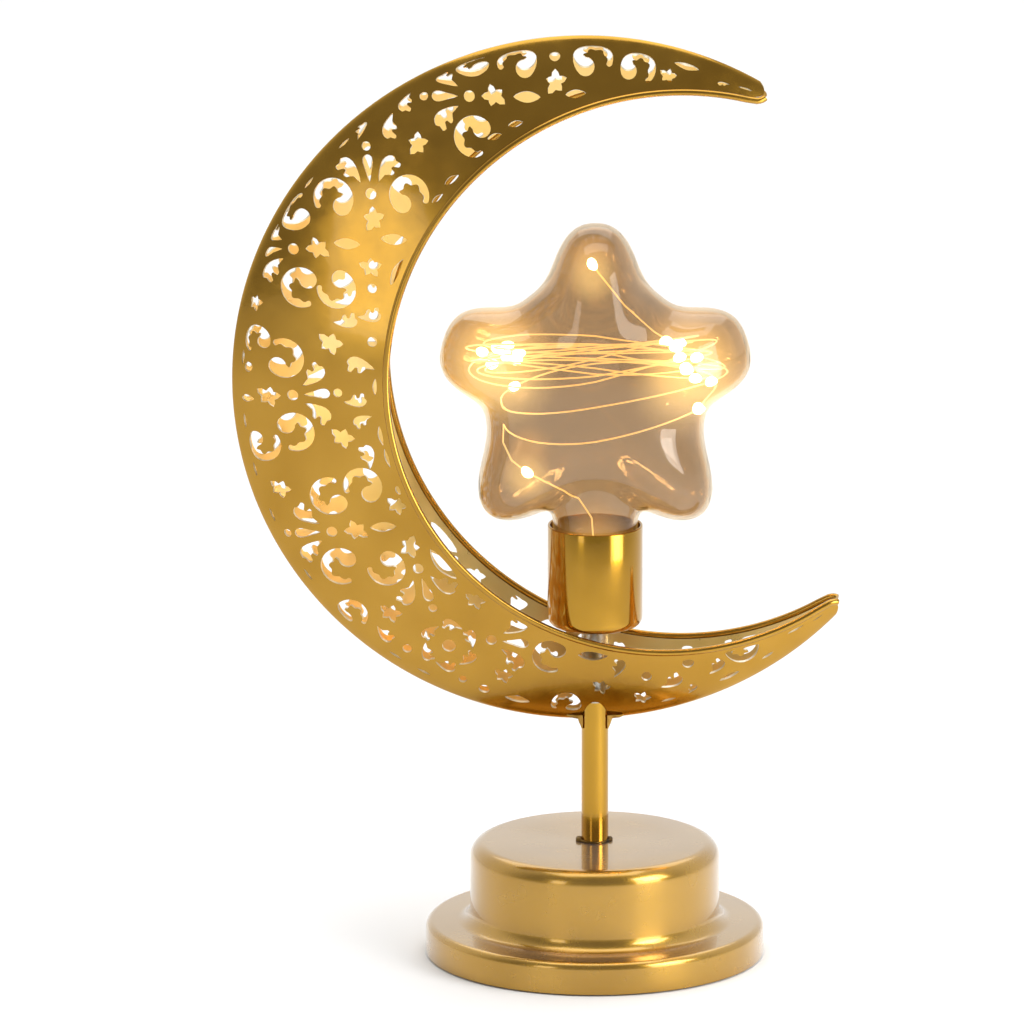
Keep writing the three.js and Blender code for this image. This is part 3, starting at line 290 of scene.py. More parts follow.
def blownGlass():
    # Soda glass tinted amber in the melt and blown in a mould: clear, slightly wavy, and richer, paler
    # gold towards its outline,
    # where the eye looks along the wall: partly its own amber, partly painted light. The string's light
    # carried in the wall is painted in as a glow, brighter towards the outline and in pools round the
    # lights.
    material, tree, shader, place = newMaterial("amber_blown_glass")
    facing = addNode(tree, "ShaderNodeLayerWeight", "Facing", {"Blend": glass["edgeBlend"]})
    along = rangeNode(tree, facing, (0.4, 0.95))
    streak = noiseNode(tree, place, glass["streak"], 2)
    mixed = rangeNode(tree, streak, spread, (0, glass["streakShare"]))
    blend = addNode(tree, "ShaderNodeMath", 0, {0: along, 1: mixed}, operation="ADD", use_clamp=True)
    colour = blendNode(tree, blend, glass["clear"], glass["edge"])
    flat = addNode(tree, "ShaderNodeVectorMath", "Vector", {0: place, 1: (1, 0, 1)},
                   operation="MULTIPLY")
    # painted light: the glow towards the outline, with the pools round the lights added to it
    paintedShine = addNode(tree, "ShaderNodeMath", 0, {0: along, 1: glass["paintedEdgeGlow"]}, operation="MULTIPLY")
    for x, z, reach, share in glass["lights"]:
        spot = (boxCentre("stem_tube").x + x * mm, 0, z * mm)
        away = addNode(tree, "ShaderNodeVectorMath", "Value", {0: flat, 1: spot}, operation="DISTANCE")
        near = rangeNode(tree, away, (reach * mm, 0), (0, share), interpolation_type="SMOOTHERSTEP")
        paintedShine = addNode(tree, "ShaderNodeMath", 0, {0: paintedShine, 1: near}, operation="ADD", use_clamp=True)
    paintedGlow = blendNode(tree, paintedShine, "000000", glass["paintedGlow"])
    waved = bumpNode(tree, noiseNode(tree, place, glass["wave"], 2), glass["waveDepth"])
    setInputs(tree, shader, {"Base Color": colour, "Roughness": glass["rough"], "IOR": glass["index"],
                             "Transmission Weight": 1.0, "Emission Color": paintedGlow,
                             "Emission Strength": glass["strength"], "Normal": waved})
    return material


# under, over and bend are the copper's own tone; dim, bright, their reach in millimetres from the middle
# and strength give its painted glow
copper = {"under": "e8a860", "over": "f8d098", "bend": 4, "dim": "f2cf8e", "bright": "fff2c8",
          "dimWithin": 6, "brightBeyond": 34, "strength": 1.9}


def copperWire():
    # Enamelled copper, a little uneven where it was bent by hand. The light of the string on it is
    # painted in as a glow
    # over the whole wire: nearly white out in the star's arms beside the lights, dimmer and warmer in the
    # middle.
    material, tree, shader, place = newMaterial("enamelled_copper_wire")
    tone = noiseNode(tree, place, copper["bend"], 2)
    across = addNode(tree, "ShaderNodeSeparateXYZ", "X", {"Vector": place})
    off = addNode(tree, "ShaderNodeMath", 0, {0: across, 1: boxCentre("bulb_glass").x},
                  operation="SUBTRACT")
    out = addNode(tree, "ShaderNodeMath", 0, {0: off}, operation="ABSOLUTE")
    near = rangeNode(tree, out, (copper["dimWithin"] * mm, copper["brightBeyond"] * mm))
    setInputs(tree, shader, {"Base Color": blendNode(tree, tone, copper["under"], copper["over"]),
                             "Metallic": 1.0, "Roughness": rangeNode(tree, tone, (0, 1), (0.25, 0.4)),
                             "Emission Color": blendNode(tree, near, copper["dim"], copper["bright"]),
                             "Emission Strength": copper["strength"]})
    return material


resin = {"mark": 1.5, "rough": 0.2, "strength": 24.0}


def litResin():
    # The drop of clear resin over each small light, lit warm white from within
    material, tree, shader, place = newMaterial("lit_resin_drop")
    tone = noiseNode(tree, place, resin["mark"], 1)
    setInputs(tree, shader, {"Base Color": blendNode(tree, tone, "fff0c8", "fff8e6"),
                             "Roughness": resin["rough"],
                             "Emission Color": blendNode(tree, tone, "ffd890", "ffe9b8"),
                             "Emission Strength": resin["strength"]})
    return material


amberGlass = blownGlass()
wireCopper = copperWire()
dropResin = litResin()
print("stage: materials")

# crescent shells
moon = {"radius": 103.5, "width": 45.6024, "halfDepth": 18.6, "dishPower": 0.75, "tilt": 7.5,
        "bayRadius": 84.4974, "sheet": 0.8, "gap": 0.3, "upperHorn": 5.3, "lowerHorn": 4.8,
        "hornBulge": 2.6, "bead": 2.0, "shift": -3.4, "height": 175.0, "columnStep": 2.0,
        "notchRadius": 4.15, "notchSteps": 16, "notchRoom": 0.004, "holeGap": 0.35, "holeReach": 26,
        "hornSteps": 8, "baySteps": 200, "beadTuck": 0.9,
        "rows": [0.12, 0.4, 0.9, 1.6, 2.6, 4, 5.8, 8, 10.8, 14, 17.6, 21.6, 26, 30.6, 35.4, 40.4, 44]}
stemX = boxCentre("stem_tube").x / mm
moonX = stemX + moon["shift"]
bayDistance = moon["width"] - moon["radius"] + moon["bayRadius"]
bayX = bayDistance * math.cos(math.radians(moon["tilt"]))
bayZ = bayDistance * math.sin(math.radians(moon["tilt"]))


def dishDepth(inset):
    return moon["halfDepth"] * (max(inset, 0) / moon["width"]) ** moon["dishPower"]


def polar(x, z):
    return math.atan2(z, x) % (2 * math.pi), moon["radius"] - math.hypot(x, z)


def bayReach(angle, radius):
    # how far from the crescent's centre a ray meets a circle about the bay's centre
    along = bayX * math.cos(angle) + bayZ * math.sin(angle)
    return along + math.sqrt(along ** 2 - bayDistance ** 2 + radius ** 2)


def hornAngle(way, width):
    reach = moon["radius"] - width
    cosine = (reach ** 2 + bayDistance ** 2 - moon["bayRadius"] ** 2) / (2 * reach * bayDistance)
    return math.radians(moon["tilt"]) + way * math.acos(cosine)


def hornEnd(way, width, edge, steps):
    # rounded end of a horn, from the outer edge to the bay
    angle = hornAngle(way, width) + way * edge / moon["radius"]
    outward = Vector((math.cos(angle), math.sin(angle)))
    start = outward * moon["radius"]
    end = outward * bayReach(angle, moon["bayRadius"] + edge)
    bulge = Vector((outward.y, -outward.x)) * (way * moon["hornBulge"] * 2)
    middle = (start + end) / 2 + bulge
    shares = [i / steps for i in range(steps + 1)]
    return [(1 - t) ** 2 * start + 2 * t * (1 - t) * middle + t * t * end for t in shares]


def bayEdge(upper, lower, radius, gap, steps):
    # the bay's arc from the end of the upper horn to the start of the lower one, less a gap in degrees
    start = math.degrees(math.atan2(upper[-1][1] - bayZ, upper[-1][0] - bayX)) + gap
    end = math.degrees(math.atan2(lower[0][1] - bayZ, lower[0][0] - bayX)) + 360 - gap
    return arcPoints(bayX, bayZ, radius, start, end, steps)


# Motifs of the pattern, one unit long
def scrollMotif():
    # a comma with a round head, its inner side scalloped three times
    outer = arcPoints(0, 0, 0.5, 0, 245, 20)
    tip = math.radians(245)
    cap = arcPoints(0.425 * math.cos(tip), 0.425 * math.sin(tip), 0.075, 275, 395, 4)
    inner = []
    for i in range(25):
        share = i / 24
        angle = math.radians(237 - 171 * share)
        reach = 0.5 - (0.165 + 0.11 * share - 0.035 * math.cos(6 * math.pi * share))
        inner.append((reach * math.cos(angle), reach * math.sin(angle)))
    return outer + cap + inner + arcPoints(0.275, 0, 0.225, 140, 350, 12)


def starMotif():
    # a five-pointed star, a little lopsided, as punched
    points = []
    for i in range(20):
        a = 2 * math.pi * i / 20
        r = 0.36 + 0.1 * math.cos(5 * a) + 0.05 * math.cos(2 * a + 0.8) + 0.03 * math.sin(3 * a)
        points.append((r * math.cos(a), r * math.sin(a)))
    return points


motifs = {
    "dot": arcPoints(0, 0, 0.5, 0, 337.5, 15),
    "eye": roundedLine([(-0.5, 0), (-0.25, 0.15), (0, 0.2), (0.25, 0.15), (0.5, 0), (0.25, -0.15),
                        (0, -0.2), (-0.25, -0.15)]),
    "drop": roundedLine([(-0.5, 0), (-0.1, 0.11), (0.2, 0.19), (0.4, 0.16), (0.5, 0), (0.4, -0.16),
                         (0.2, -0.19), (-0.1, -0.11)]),
    "star": starMotif(),
    "petal": roundedLine([(-0.5, -0.02), (-0.2, 0.07), (-0.1, 0.28), (0.02, 0.33), (0.08, 0.19),
                          (0.18, 0.21), (0.24, 0.4), (0.38, 0.4), (0.4, 0.22), (0.5, 0.12),
                          (0.44, -0.08), (0.2, -0.2), (-0.15, -0.16)]),
    "scroll": scrollMotif(),
}

# One spray, which points along its second axis: motif, place, length, turn, hand
spray = {
    "heart": [("dot", 0, 0, 3.2, 0, 1)],
    "drop": [("drop", 0, 7.2, 7.8, 90, 1)],
    "end": [("dot", 0, 13.4, 2.6, 0, 1)],
    "petals": [("petal", -5, 6.9, 8.6, 120, 1), ("petal", 5, 6.9, 8.6, 60, -1)],
    "scrolls": [("scroll", -11.2, -1, 11.8, -45, 1), ("scroll", 11.2, -1, 11.8, -135, -1)],
    "star": [("star", 0, -7.2, 7.4, 90, 1)],
}

# Sprays: degrees about the crescent's centre, millimetres in from its edge, direction, parts
sprays = [
    (137.1, 18.2, 96, "heart drop end petals scrolls star"),
    (154.6, 9.1, 186, "heart drop petals scrolls star"),
    (111.2, 10.5, 182, "heart drop end petals scrolls star"),
    (181.9, 17.9, 8, "heart drop end petals scrolls star"),
    (210.9, 17.1, 188, "heart drop end petals scrolls star"),
    (228.1, 30.5, -71, "heart drop end petals star"),
    (95, 4.8, 92, "heart scrolls star"),
    (250.5, 22, -6, "heart drop petals"),
]

# Single motifs: degrees, inset, length, and then turn and hand where they are not 0 and 1
singles = {
    "dot": [(153.6, 34.1, 2.8), (166.3, 39.6, 3), (177.5, 4.5, 3), (208.6, 42, 2.8), (237.3, 7.2, 2.8),
            (248.5, 6.2, 2.4), (252.6, 5.2, 3.2), (281.8, 12.7, 3), (290, 13.4, 3.4)],
    "eye": [(61.6, 3.8, 4.6, -28), (72.4, 3.2, 7.6, -16), (91.6, 15.6, 6, 4), (100.9, 15, 8),
            (104.2, 21.6, 4.4, 14), (109.1, 23.4, 4.4, 19), (121.5, 29.4, 5, 32),
            (126.6, 31.6, 4.2, 36), (140.8, 31.6, 7.8), (146.6, 38.2, 8.6, 62), (148.1, 21.6, 7.8),
            (178.4, 42.4, 5, 88), (183, 3.6, 5.6), (192.4, 42.8, 6, 102), (199, 43, 6, 108),
            (215.2, 31.3, 7.8, 8), (231.8, 36.8, 12, -50), (258.6, 4.4, 7.6, -12), (272, 22, 9),
            (295.6, 3, 6.6, 28), (303, 3, 4, 34), (310, 7.2, 5.6, 42), (314, 4.8, 3.6, 50)],
    "petal": [(65.4, 5, 3.8, 170), (121.8, 3.2, 7.2, 250), (126.4, 7.1, 7.4, 250), (130.8, 2.4, 7, 80),
              (160.4, 36.7, 7), (163.9, 30.6, 7.2), (172.9, 37.7, 8.4, 160), (182.9, 36.2, 6.8),
              (187.4, 37.9, 6, 200), (197.6, 37.3, 7.6, 90), (232.4, 6.6, 6.4, -60),
              (276.9, 16.6, 6.4, 60), (285.9, 8.4, 7, 20), (288.9, 3.6, 4.4, 60), (294.4, 8.2, 6, 40)],
    "star": [(75.1, 7.8, 5.2), (123.8, 15.8, 7, 90), (149.4, 30.9, 6.8, 20), (166.2, 3.4, 6),
             (169.5, 27.8, 7.8), (191.6, 31.1, 7.4), (199.8, 8.6, 6.6), (212.1, 38.6, 6.6),
             (230.7, 13.7, 7), (243.5, 32.1, 6.6), (255.1, 11.6, 5.8), (273.2, 11, 5.6),
             (280.2, 5.6, 5.6)],
    "scroll": [(80.5, 7.4, 10.4, 195, -1), (157.6, 24.9, 11.6, 67, -1), (172.4, 6.3, 8.6, -10),
               (191.3, 7.4, 10.4, 150), (204.2, 32.2, 11.6, -45), (223.3, 23.6, 11.4, 75, -1),
               (226, 4.8, 10, 215, -1), (263.2, 20.9, 10.8, 43), (267, 4.6, 9, -40),
               (300.1, 10.6, 10, 30, -1)],
}
rosette = {"degrees": 243.4, "inset": 14.8, "dot": 4, "reach": 7.2, "petal": 6.2}
rimSlots = {"degrees": [134.5, 143.5, 176, 187, 195.6, 204, 216, 236.5, 242, 284.5], "inset": 1.4,
            "length": 4.4}
# Where the pattern is squeezed: from how far, and how near the edge or the bead it may come
squeeze = {"rim": 6, "rimLeast": 1.3, "bay": 4, "bayLeast": 1.9}


def settled(x, z):
    # the pattern is squeezed where it meets the outer edge or the bead, as the press does
    reach = math.hypot(x, z)
    inset = moon["radius"] - reach
    if inset < squeeze["rim"]:
        room = squeeze["rim"] - squeeze["rimLeast"]
        kept = moon["radius"] - (squeeze["rimLeast"] + room * math.exp((inset - squeeze["rim"]) / room))
        x, z = x * kept / reach, z * kept / reach
    fromBay = math.hypot(x - bayX, z - bayZ)
    clear = fromBay - moon["bayRadius"]
    if clear < squeeze["bay"]:
        room = squeeze["bay"] - squeeze["bayLeast"]
        pushed = squeeze["bayLeast"] + room * math.exp((clear - squeeze["bay"]) / room)
        scale = (moon["bayRadius"] + pushed) / fromBay
        x, z = bayX + (x - bayX) * scale, bayZ + (z - bayZ) * scale
    return x, z


def placeMotif(kind, x, z, length, turn, hand):
    c, s = math.cos(math.radians(turn)), math.sin(math.radians(turn))
    return [settled(x + length * (u * c - v * hand * s), z + length * (u * s + v * hand * c))
            for u, v in motifs[kind]]


def onMoon(degrees, inset):
    reach = moon["radius"] - inset
    return reach * math.cos(math.radians(degrees)), reach * math.sin(math.radians(degrees))


def patternHoles():
    holes = []
    for degrees, inset, direction, parts in sprays:
        x, z = onMoon(degrees, inset)
        c, s = math.cos(math.radians(direction - 90)), math.sin(math.radians(direction - 90))
        for part in parts.split():
            for kind, u, v, length, turn, hand in spray[part]:
                holes.append(placeMotif(kind, x + u * c - v * s, z + u * s + v * c, length,
                                        turn + direction - 90, hand))
    for kind, places in singles.items():
        for degrees, inset, length, *rest in places:
            holes.append(placeMotif(kind, *onMoon(degrees, inset), length, *rest, *(0, 1)[len(rest):]))
    x, z = onMoon(rosette["degrees"], rosette["inset"])
    holes.append(placeMotif("dot", x, z, rosette["dot"], 0, 1))
    for k in range(6):
        a = math.radians(20 + 60 * k)
        holes.append(placeMotif("petal", x + rosette["reach"] * math.cos(a),
                                z + rosette["reach"] * math.sin(a), rosette["petal"], 90 + 60 * k, 1))
    for degrees in rimSlots["degrees"]:
        holes.append(placeMotif("eye", *onMoon(degrees, rimSlots["inset"]), rimSlots["length"],
                                degrees + 90, 1))
    # a hole that would run into one already kept is left out
    kept = []
    for hole in holes:
        if all(min(math.dist(a, b) for a in hole for b in other) > moon["holeGap"] for other in kept
               if math.dist(hole[0], other[0]) < moon["holeReach"]):
            kept.append(hole)
    return kept


def shellOutline():
    # the crescent's edge as (angle, inset) pairs, with the room that the stem passes through
    edge = moon["beadTuck"] * moon["bead"] / 2
    upper = hornEnd(1, moon["upperHorn"], edge, moon["hornSteps"])
    lower = hornEnd(-1, moon["lowerHorn"], edge, moon["hornSteps"])[::-1]
    inner = bayEdge(upper, lower, moon["bayRadius"] + edge, 0, moon["baySteps"])[1:-1]
    points = [polar(*p) for p in upper + inner + lower]
    notch = []
    for i in range(moon["notchSteps"] + 1):
        turn = math.pi * (1 - i / moon["notchSteps"])
        depth = moon["notchRadius"] * math.sin(turn) - moon["gap"] / 2
        inset = moon["width"] * (max(depth, 0) / moon["halfDepth"]) ** (1 / moon["dishPower"])
        x = -moon["shift"] - moon["notchRadius"] * math.cos(turn)
        notch.append((polar(x, -math.sqrt((moon["radius"] - inset) ** 2 - x * x))[0], inset))
    last, first = points[-1][0], points[0][0]
    steps = int(moon["radius"] * (last - first) / 2)
    rim = [last + (first - last) * i / steps for i in range(1, steps)]
    before = [(a, 0) for a in rim if a > notch[0][0] + moon["notchRoom"]]
    after = [(a, 0) for a in rim if a < notch[-1][0] - moon["notchRoom"]]
    return points + before + notch + after


shellFinishes = [goldSkin, cutEdge, goldInside]  # outside, cut edges, inside


def shellMesh(name):
    # the flat sheet is cut with angle along X and inset along Y, gridded, and then rolled into the dish
    bm = bmesh.new()
    loops = [shellOutline()] + [[polar(x, z) for x, z in hole] for hole in patternHoles()]
    for loop in loops:
        verts = [bm.verts.new((a * moon["radius"] * mm, w * mm, 0)) for a, w in loop]
        for i in range(len(verts)):
            bm.edges.new((verts[i - 1], verts[i]))
    bmesh.ops.triangle_fill(bm, use_beauty=True, use_dissolve=False, edges=bm.edges, normal=(0, 0, 1))
    low = min(v.co.x for v in bm.verts)
    high = max(v.co.x for v in bm.verts)
    for inset in moon["rows"]:
        bmesh.ops.bisect_plane(bm, geom=bm.verts[:] + bm.edges[:] + bm.faces[:], dist=1e-8,
                               plane_co=(0, inset * mm, 0), plane_no=(0, 1, 0))
    columns = int((high - low) / (moon["columnStep"] * mm))
    for i in range(1, columns):
        place = low + (high - low) * i / columns
        near = [f for f in bm.faces
                if min(v.co.x for v in f.verts) < place < max(v.co.x for v in f.verts)]
        edges = list({e for f in near for e in f.edges})
        verts = list({v for f in near for v in f.verts})
        bmesh.ops.bisect_plane(bm, geom=verts + edges + near, dist=1e-8, plane_co=(place, 0, 0),
                               plane_no=(1, 0, 0))
    for v in bm.verts:
        angle, inset = v.co.x / (moon["radius"] * mm), v.co.y / mm
        reach = moon["radius"] - inset
        v.co = Vector((moonX + reach * math.cos(angle), -(moon["gap"] / 2 + dishDepth(inset)),
                       moon["height"] + reach * math.sin(angle))) * mm
    bmesh.ops.recalc_face_normals(bm, faces=bm.faces)
    if sum(f.normal.y * f.calc_area() for f in bm.faces) > 0:
        bmesh.ops.reverse_faces(bm, faces=bm.faces)
    mesh = meshFrom(bm, name, 0, False)
    for material in shellFinishes:
        mesh.materials.append(material)
    return bakedMesh(mesh, name, ("SOLIDIFY", {"thickness": moon["sheet"] * mm, "offset": -1.0,
                                               "use_even_offset": False, "material_offset": 2,
                                               "material_offset_rim": 1}))


frontShell = shellMesh("moonFront")
backShell = frontShell.copy()
bm = bmesh.new()
bm.from_mesh(backShell)
bmesh.ops.scale(bm, vec=(1, -1, 1), verts=bm.verts)
bmesh.ops.reverse_faces(bm, faces=bm.faces)
bm.to_mesh(backShell)
bm.free()
finishPiece("moonFront", frontShell, shellFinishes, "lamp", ["moon_front_shell"], sharp=50)
finishPiece("moonBack", backShell, shellFinishes, "lamp", ["moon_back_shell"], sharp=50)
print("stage: crescent shells", len(frontShell.polygons))


bead = {"hornSteps": 12, "from": 7, "gapDegrees": 2, "steps": 220, "leastInset": 1.1, "sides": 12}


def beadMesh(name, facing):
    # the wire bead along the bay, turned in round both horns
    ends = slice(bead["from"], -1)
    upper = [(p.x, p.y) for p in hornEnd(1, moon["upperHorn"], 0, bead["hornSteps"])[ends]]
    lower = [(p.x, p.y) for p in hornEnd(-1, moon["lowerHorn"], 0, bead["hornSteps"])[ends]][::-1]
    inner = bayEdge(upper, lower, moon["bayRadius"], bead["gapDegrees"], bead["steps"])
    points = []
    for x, z in upper + inner + lower:
        inset = max(moon["radius"] - math.hypot(x, z), bead["leastInset"] * moon["bead"])
        points.append(((moonX + x) * mm, facing * (moon["gap"] + dishDepth(inset)) * mm,
                       (moon["height"] + z) * mm))
    return sweptMesh(name, points, moon["bead"] / 2 * mm, bead["sides"])


for name, node, facing in [("moonBeadFront", "moon_rim_front", -1), ("moonBeadBack", "moon_rim_back", 1)]:
    finishPiece(name, beadMesh(name, facing), [goldSkin], "lamp", [node], sharp=60)

# Base, stem and cup
base = {"flange": 50, "flangeHeight": 10, "flangeEdge": 2.2, "drum": 36.886, "foot": 4, "drumEdge": 4.5,
        "height": 34, "lift": 0.5, "sheet": 0.8, "steps": 144, "bulge": 0.12}
stemHole = 4.05
stemCentre = Vector((stemX * mm, 0, 0))


def baseProfile():
    b = base
    foot = b["drum"] + b["foot"]
    top = b["height"]
    drumX, drumZ = b["drum"] - b["drumEdge"], top - b["drumEdge"]
    flangeX, flangeZ = b["flange"] - b["flangeEdge"], b["flangeHeight"] - b["flangeEdge"]
    footZ = b["flangeHeight"] + b["foot"]
    innerX, innerZ = b["flange"] - b["sheet"], b["flangeHeight"] - b["sheet"]
    outside = [(b["flange"], b["lift"]), (b["flange"] + b["bulge"], b["lift"] + 1.2),
               (b["flange"], b["lift"] + 3), *arcPoints(flangeX, flangeZ, b["flangeEdge"], 0, 90, 7),
               *arcPoints(foot, footZ, b["foot"], 270, 180, 8), (b["drum"], b["flangeHeight"] + 9),
               (b["drum"], drumZ - 3), *arcPoints(drumX, drumZ, b["drumEdge"], 0, 90, 10),
               (22, top + 0.02), (10, top), (stemHole, top)]
    inside = [(stemHole, top - b["sheet"]),
              *arcPoints(drumX, drumZ, b["drumEdge"] - b["sheet"], 90, 0, 5),
              *arcPoints(foot, footZ, b["foot"] + b["sheet"], 180, 270, 5),
              (innerX, innerZ), (innerX, b["lift"])]
    return outside + inside


bm = spunForm(baseProfile(), base["steps"], stemCentre)
finishPiece("baseHousing", meshFrom(bm, "baseHousing"), [goldBase], "lamp", ["base_shell"], sharp=40)

cupLow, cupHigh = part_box("socket_sleeve")
cup = {"radius": 14.05, "bottom": cupLow.z / mm, "top": cupHigh.z / mm, "foot": 3, "sheet": 0.8,
       "lip": 0.4, "middle": 12}


def cupProfile():
    c = cup
    footX, footZ = c["radius"] - c["foot"], c["bottom"] + c["foot"]
    return [(stemHole, c["bottom"]), *arcPoints(footX, footZ, c["foot"], 270, 360, 7),
            (c["radius"], c["bottom"] + c["middle"]),
            *arcPoints(c["radius"] - c["lip"], c["top"] - c["lip"], c["lip"], 0, 180, 6),
            *arcPoints(footX, footZ, c["foot"] - c["sheet"], 360, 270, 5),
            (stemHole, c["bottom"] + c["sheet"])]


bm = spunForm(cupProfile(), 96, stemCentre)
finishPiece("lampCup", meshFrom(bm, "lampCup"), [goldTube], "lamp", ["socket_sleeve"], sharp=40)

stemLow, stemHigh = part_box("stem_tube")
stem = {"radius": 4, "bore": 3.2, "bottom": stemLow.z / mm, "middle": 60, "lacquerTop": 77,
        "top": stemHigh.z / mm, "chamfer": 0.3}
bm = spunForm([(stem["radius"], stem["bottom"]), (stem["radius"], stem["middle"]),
               (stem["radius"], stem["lacquerTop"]), (stem["radius"], stem["top"] - stem["chamfer"]),
               (stem["radius"] - stem["chamfer"], stem["top"]), (stem["bore"], stem["top"]),
               (stem["bore"], stem["bottom"])], 48, stemCentre)
stemMesh = meshFrom(bm, "stemTube")
finishPiece("stemTube", stemMesh, [goldTube, nickelPlate], "lamp", ["stem_tube"], sharp=40)
for face in stemMesh.polygons:  # inside the crescent the tube is left bare
    face.material_index = int(face.center.z > stem["lacquerTop"] * mm)

gasketLow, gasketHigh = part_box("bulb_gasket")
gasket = {"inner": 8.4, "flat": 12.4, "outer": 12.75, "edge": 0.3, "bottom": gasketLow.z / mm,
          "top": gasketHigh.z / mm}
bm = spunForm([(gasket["inner"], gasket["bottom"]), (gasket["flat"], gasket["bottom"]),
               (gasket["outer"], gasket["bottom"] + gasket["edge"]),
               (gasket["outer"], gasket["top"] - gasket["edge"]), (gasket["flat"], gasket["top"]),
               (gasket["inner"], gasket["top"])], 72, stemCentre)
finishPiece("bulbGasket", meshFrom(bm, "bulbGasket"), [gasketRubber], "gasket", ["bulb_gasket"],
            40)
print("stage: base, stem, cup")


# Welds: lumps of metal frozen in ripples round a joint
# (left and right lump: how much thicker, how far out, half-width in radians)
footWeld = {"radius": 4.15, "height": 34.35, "thin": 0.5, "steps": 96, "bar": 0.5, "sides": 12,
            "left": (1.35, 0.7, 0.42), "leftAt": math.pi * 1.02, "right": (1.0, 0.3, 0.36), "wrap": 0.3,
            "ripples": [(0.16, 13, 1), (0.1, 29, 0)]}


def footWeldMesh(name):
    # a thin seam round the stem's foot, with a large lump on the left and a smaller one on the right
    w = footWeld
    points, radii = [], []
    for i in range(w["steps"]):
        a = 2 * math.pi * i / w["steps"]
        fromRight = (a + w["wrap"]) % (2 * math.pi) - w["wrap"]
        swell, out = w["thin"], w["radius"]
        for (more, further, width), off in ((w["left"], a - w["leftAt"]), (w["right"], fromRight)):
            lump = math.exp(-(off / width) ** 2)
            swell += more * lump
            out += further * lump
        ripple = sum(size * math.sin(count * a + phase) for size, count, phase in w["ripples"])
        radii.append(swell * (1 + ripple))
        points.append(((stemX + out * math.cos(a)) * mm, out * math.sin(a) * mm, w["height"] * mm))
    return sweptMesh(name, points, w["bar"] * mm, w["sides"], True, radii)


finishPiece("stemFootWeld", footWeldMesh("stemFootWeld"), [heatedSteel], "lamp", ["stem_foot_weld"],
            sharp=60)
gusset = {"reach": 8.4, "top": 72.9, "foot": 68.7, "depth": 2.1, "sag": 0.9, "inner": 3.6, "toe": 0.3,
          "tip": 0.5, "edge": 0.8}


def gussetWeld(name, node, side):
    # weld that fills the corner between the stem and the crescent's lower edge, drawn in like a fillet
    g = gusset
    bm = bmesh.new()
    middle = ((g["reach"] + g["inner"]) / 2 - g["sag"], (g["top"] + g["foot"]) / 2 + g["sag"])
    corners = [(g["inner"], g["foot"]), (g["inner"] + g["toe"], g["foot"]), middle,
               (g["reach"], g["top"] - g["tip"]), (g["reach"], g["top"]), (g["inner"], g["top"])]
    verts = [bm.verts.new(((stemX + side * x) * mm, -g["depth"] * mm, z * mm)) for x, z in corners]
    face = bm.faces.new(verts)
    new = bmesh.ops.extrude_face_region(bm, geom=[face])["geom"]
    bmesh.ops.translate(bm, verts=[v for v in new if isinstance(v, bmesh.types.BMVert)],
                        vec=(0, 2 * g["depth"] * mm, 0))
    bmesh.ops.bevel(bm, geom=bm.edges[:], offset=g["edge"] * mm, segments=3, affect="EDGES",
                    profile=0.5, material=-1, clamp_overlap=True)
    bmesh.ops.triangulate(bm, faces=bm.faces)
    bmesh.ops.subdivide_edges(bm, edges=bm.edges[:], cuts=2, use_grid_fill=True, smooth=0.4)
    for v in bm.verts:
        out = (abs(v.co.x / mm - stemX) - g["inner"]) / (g["reach"] - g["inner"])
        v.co.y *= 1.15 - 0.5 * out + 0.1 * math.sin(2.6 * v.co.z / mm + 1.7 * out)
        v.co.z += 0.12 * mm * math.sin(1.9 * v.co.x / mm + 2.3 * v.co.y / mm)
    finishPiece(name, meshFrom(bm, name), [weldGold], "lamp", [node], sharp=60)


gussetWeld("moonWeldLeft", "moon_weld_left", -1)
gussetWeld("moonWeldRight", "moon_weld_right", 1)
print("stage: welds")

# Star bulb. The form starts a little larger, because the smoothing that joins star and neck draws it in
star = {"tip": 48.6, "notch": 32.6, "halfDepth": 21, "wall": 1.2, "rise": 41.8, "points": 200,
        "voxel": 0.9, "grown": 1.022, "smooth": 0.6, "passes": 70,
        "rings": [1, 0.995, 0.98, 0.955, 0.92, 0.87, 0.81, 0.74, 0.65, 0.54, 0.42, 0.3, 0.18, 0.07],
        "arms": [(90, 18.7, 1, 2.65), (162.8, 20.2, 0.953, 3.8), (230.7, 18.2, 1.014, 2.1),
                 (309.3, 18.2, 1.014, 2.1), (17.2, 20.2, 0.953, 3.8)]}
starZ = cup["top"] + star["rise"]


def starReach(angle):
    # each arm: direction and half-spread in degrees, share of the tip's reach, bluntness
    reach = star["notch"]
    for direction, breadth, share, bluntness in star["arms"]:
        off = abs((math.degrees(angle) - direction + 180) % 360 - 180)
        reach += (share * star["tip"] - star["notch"]) * math.exp(-(off / breadth) ** bluntness)
    return reach


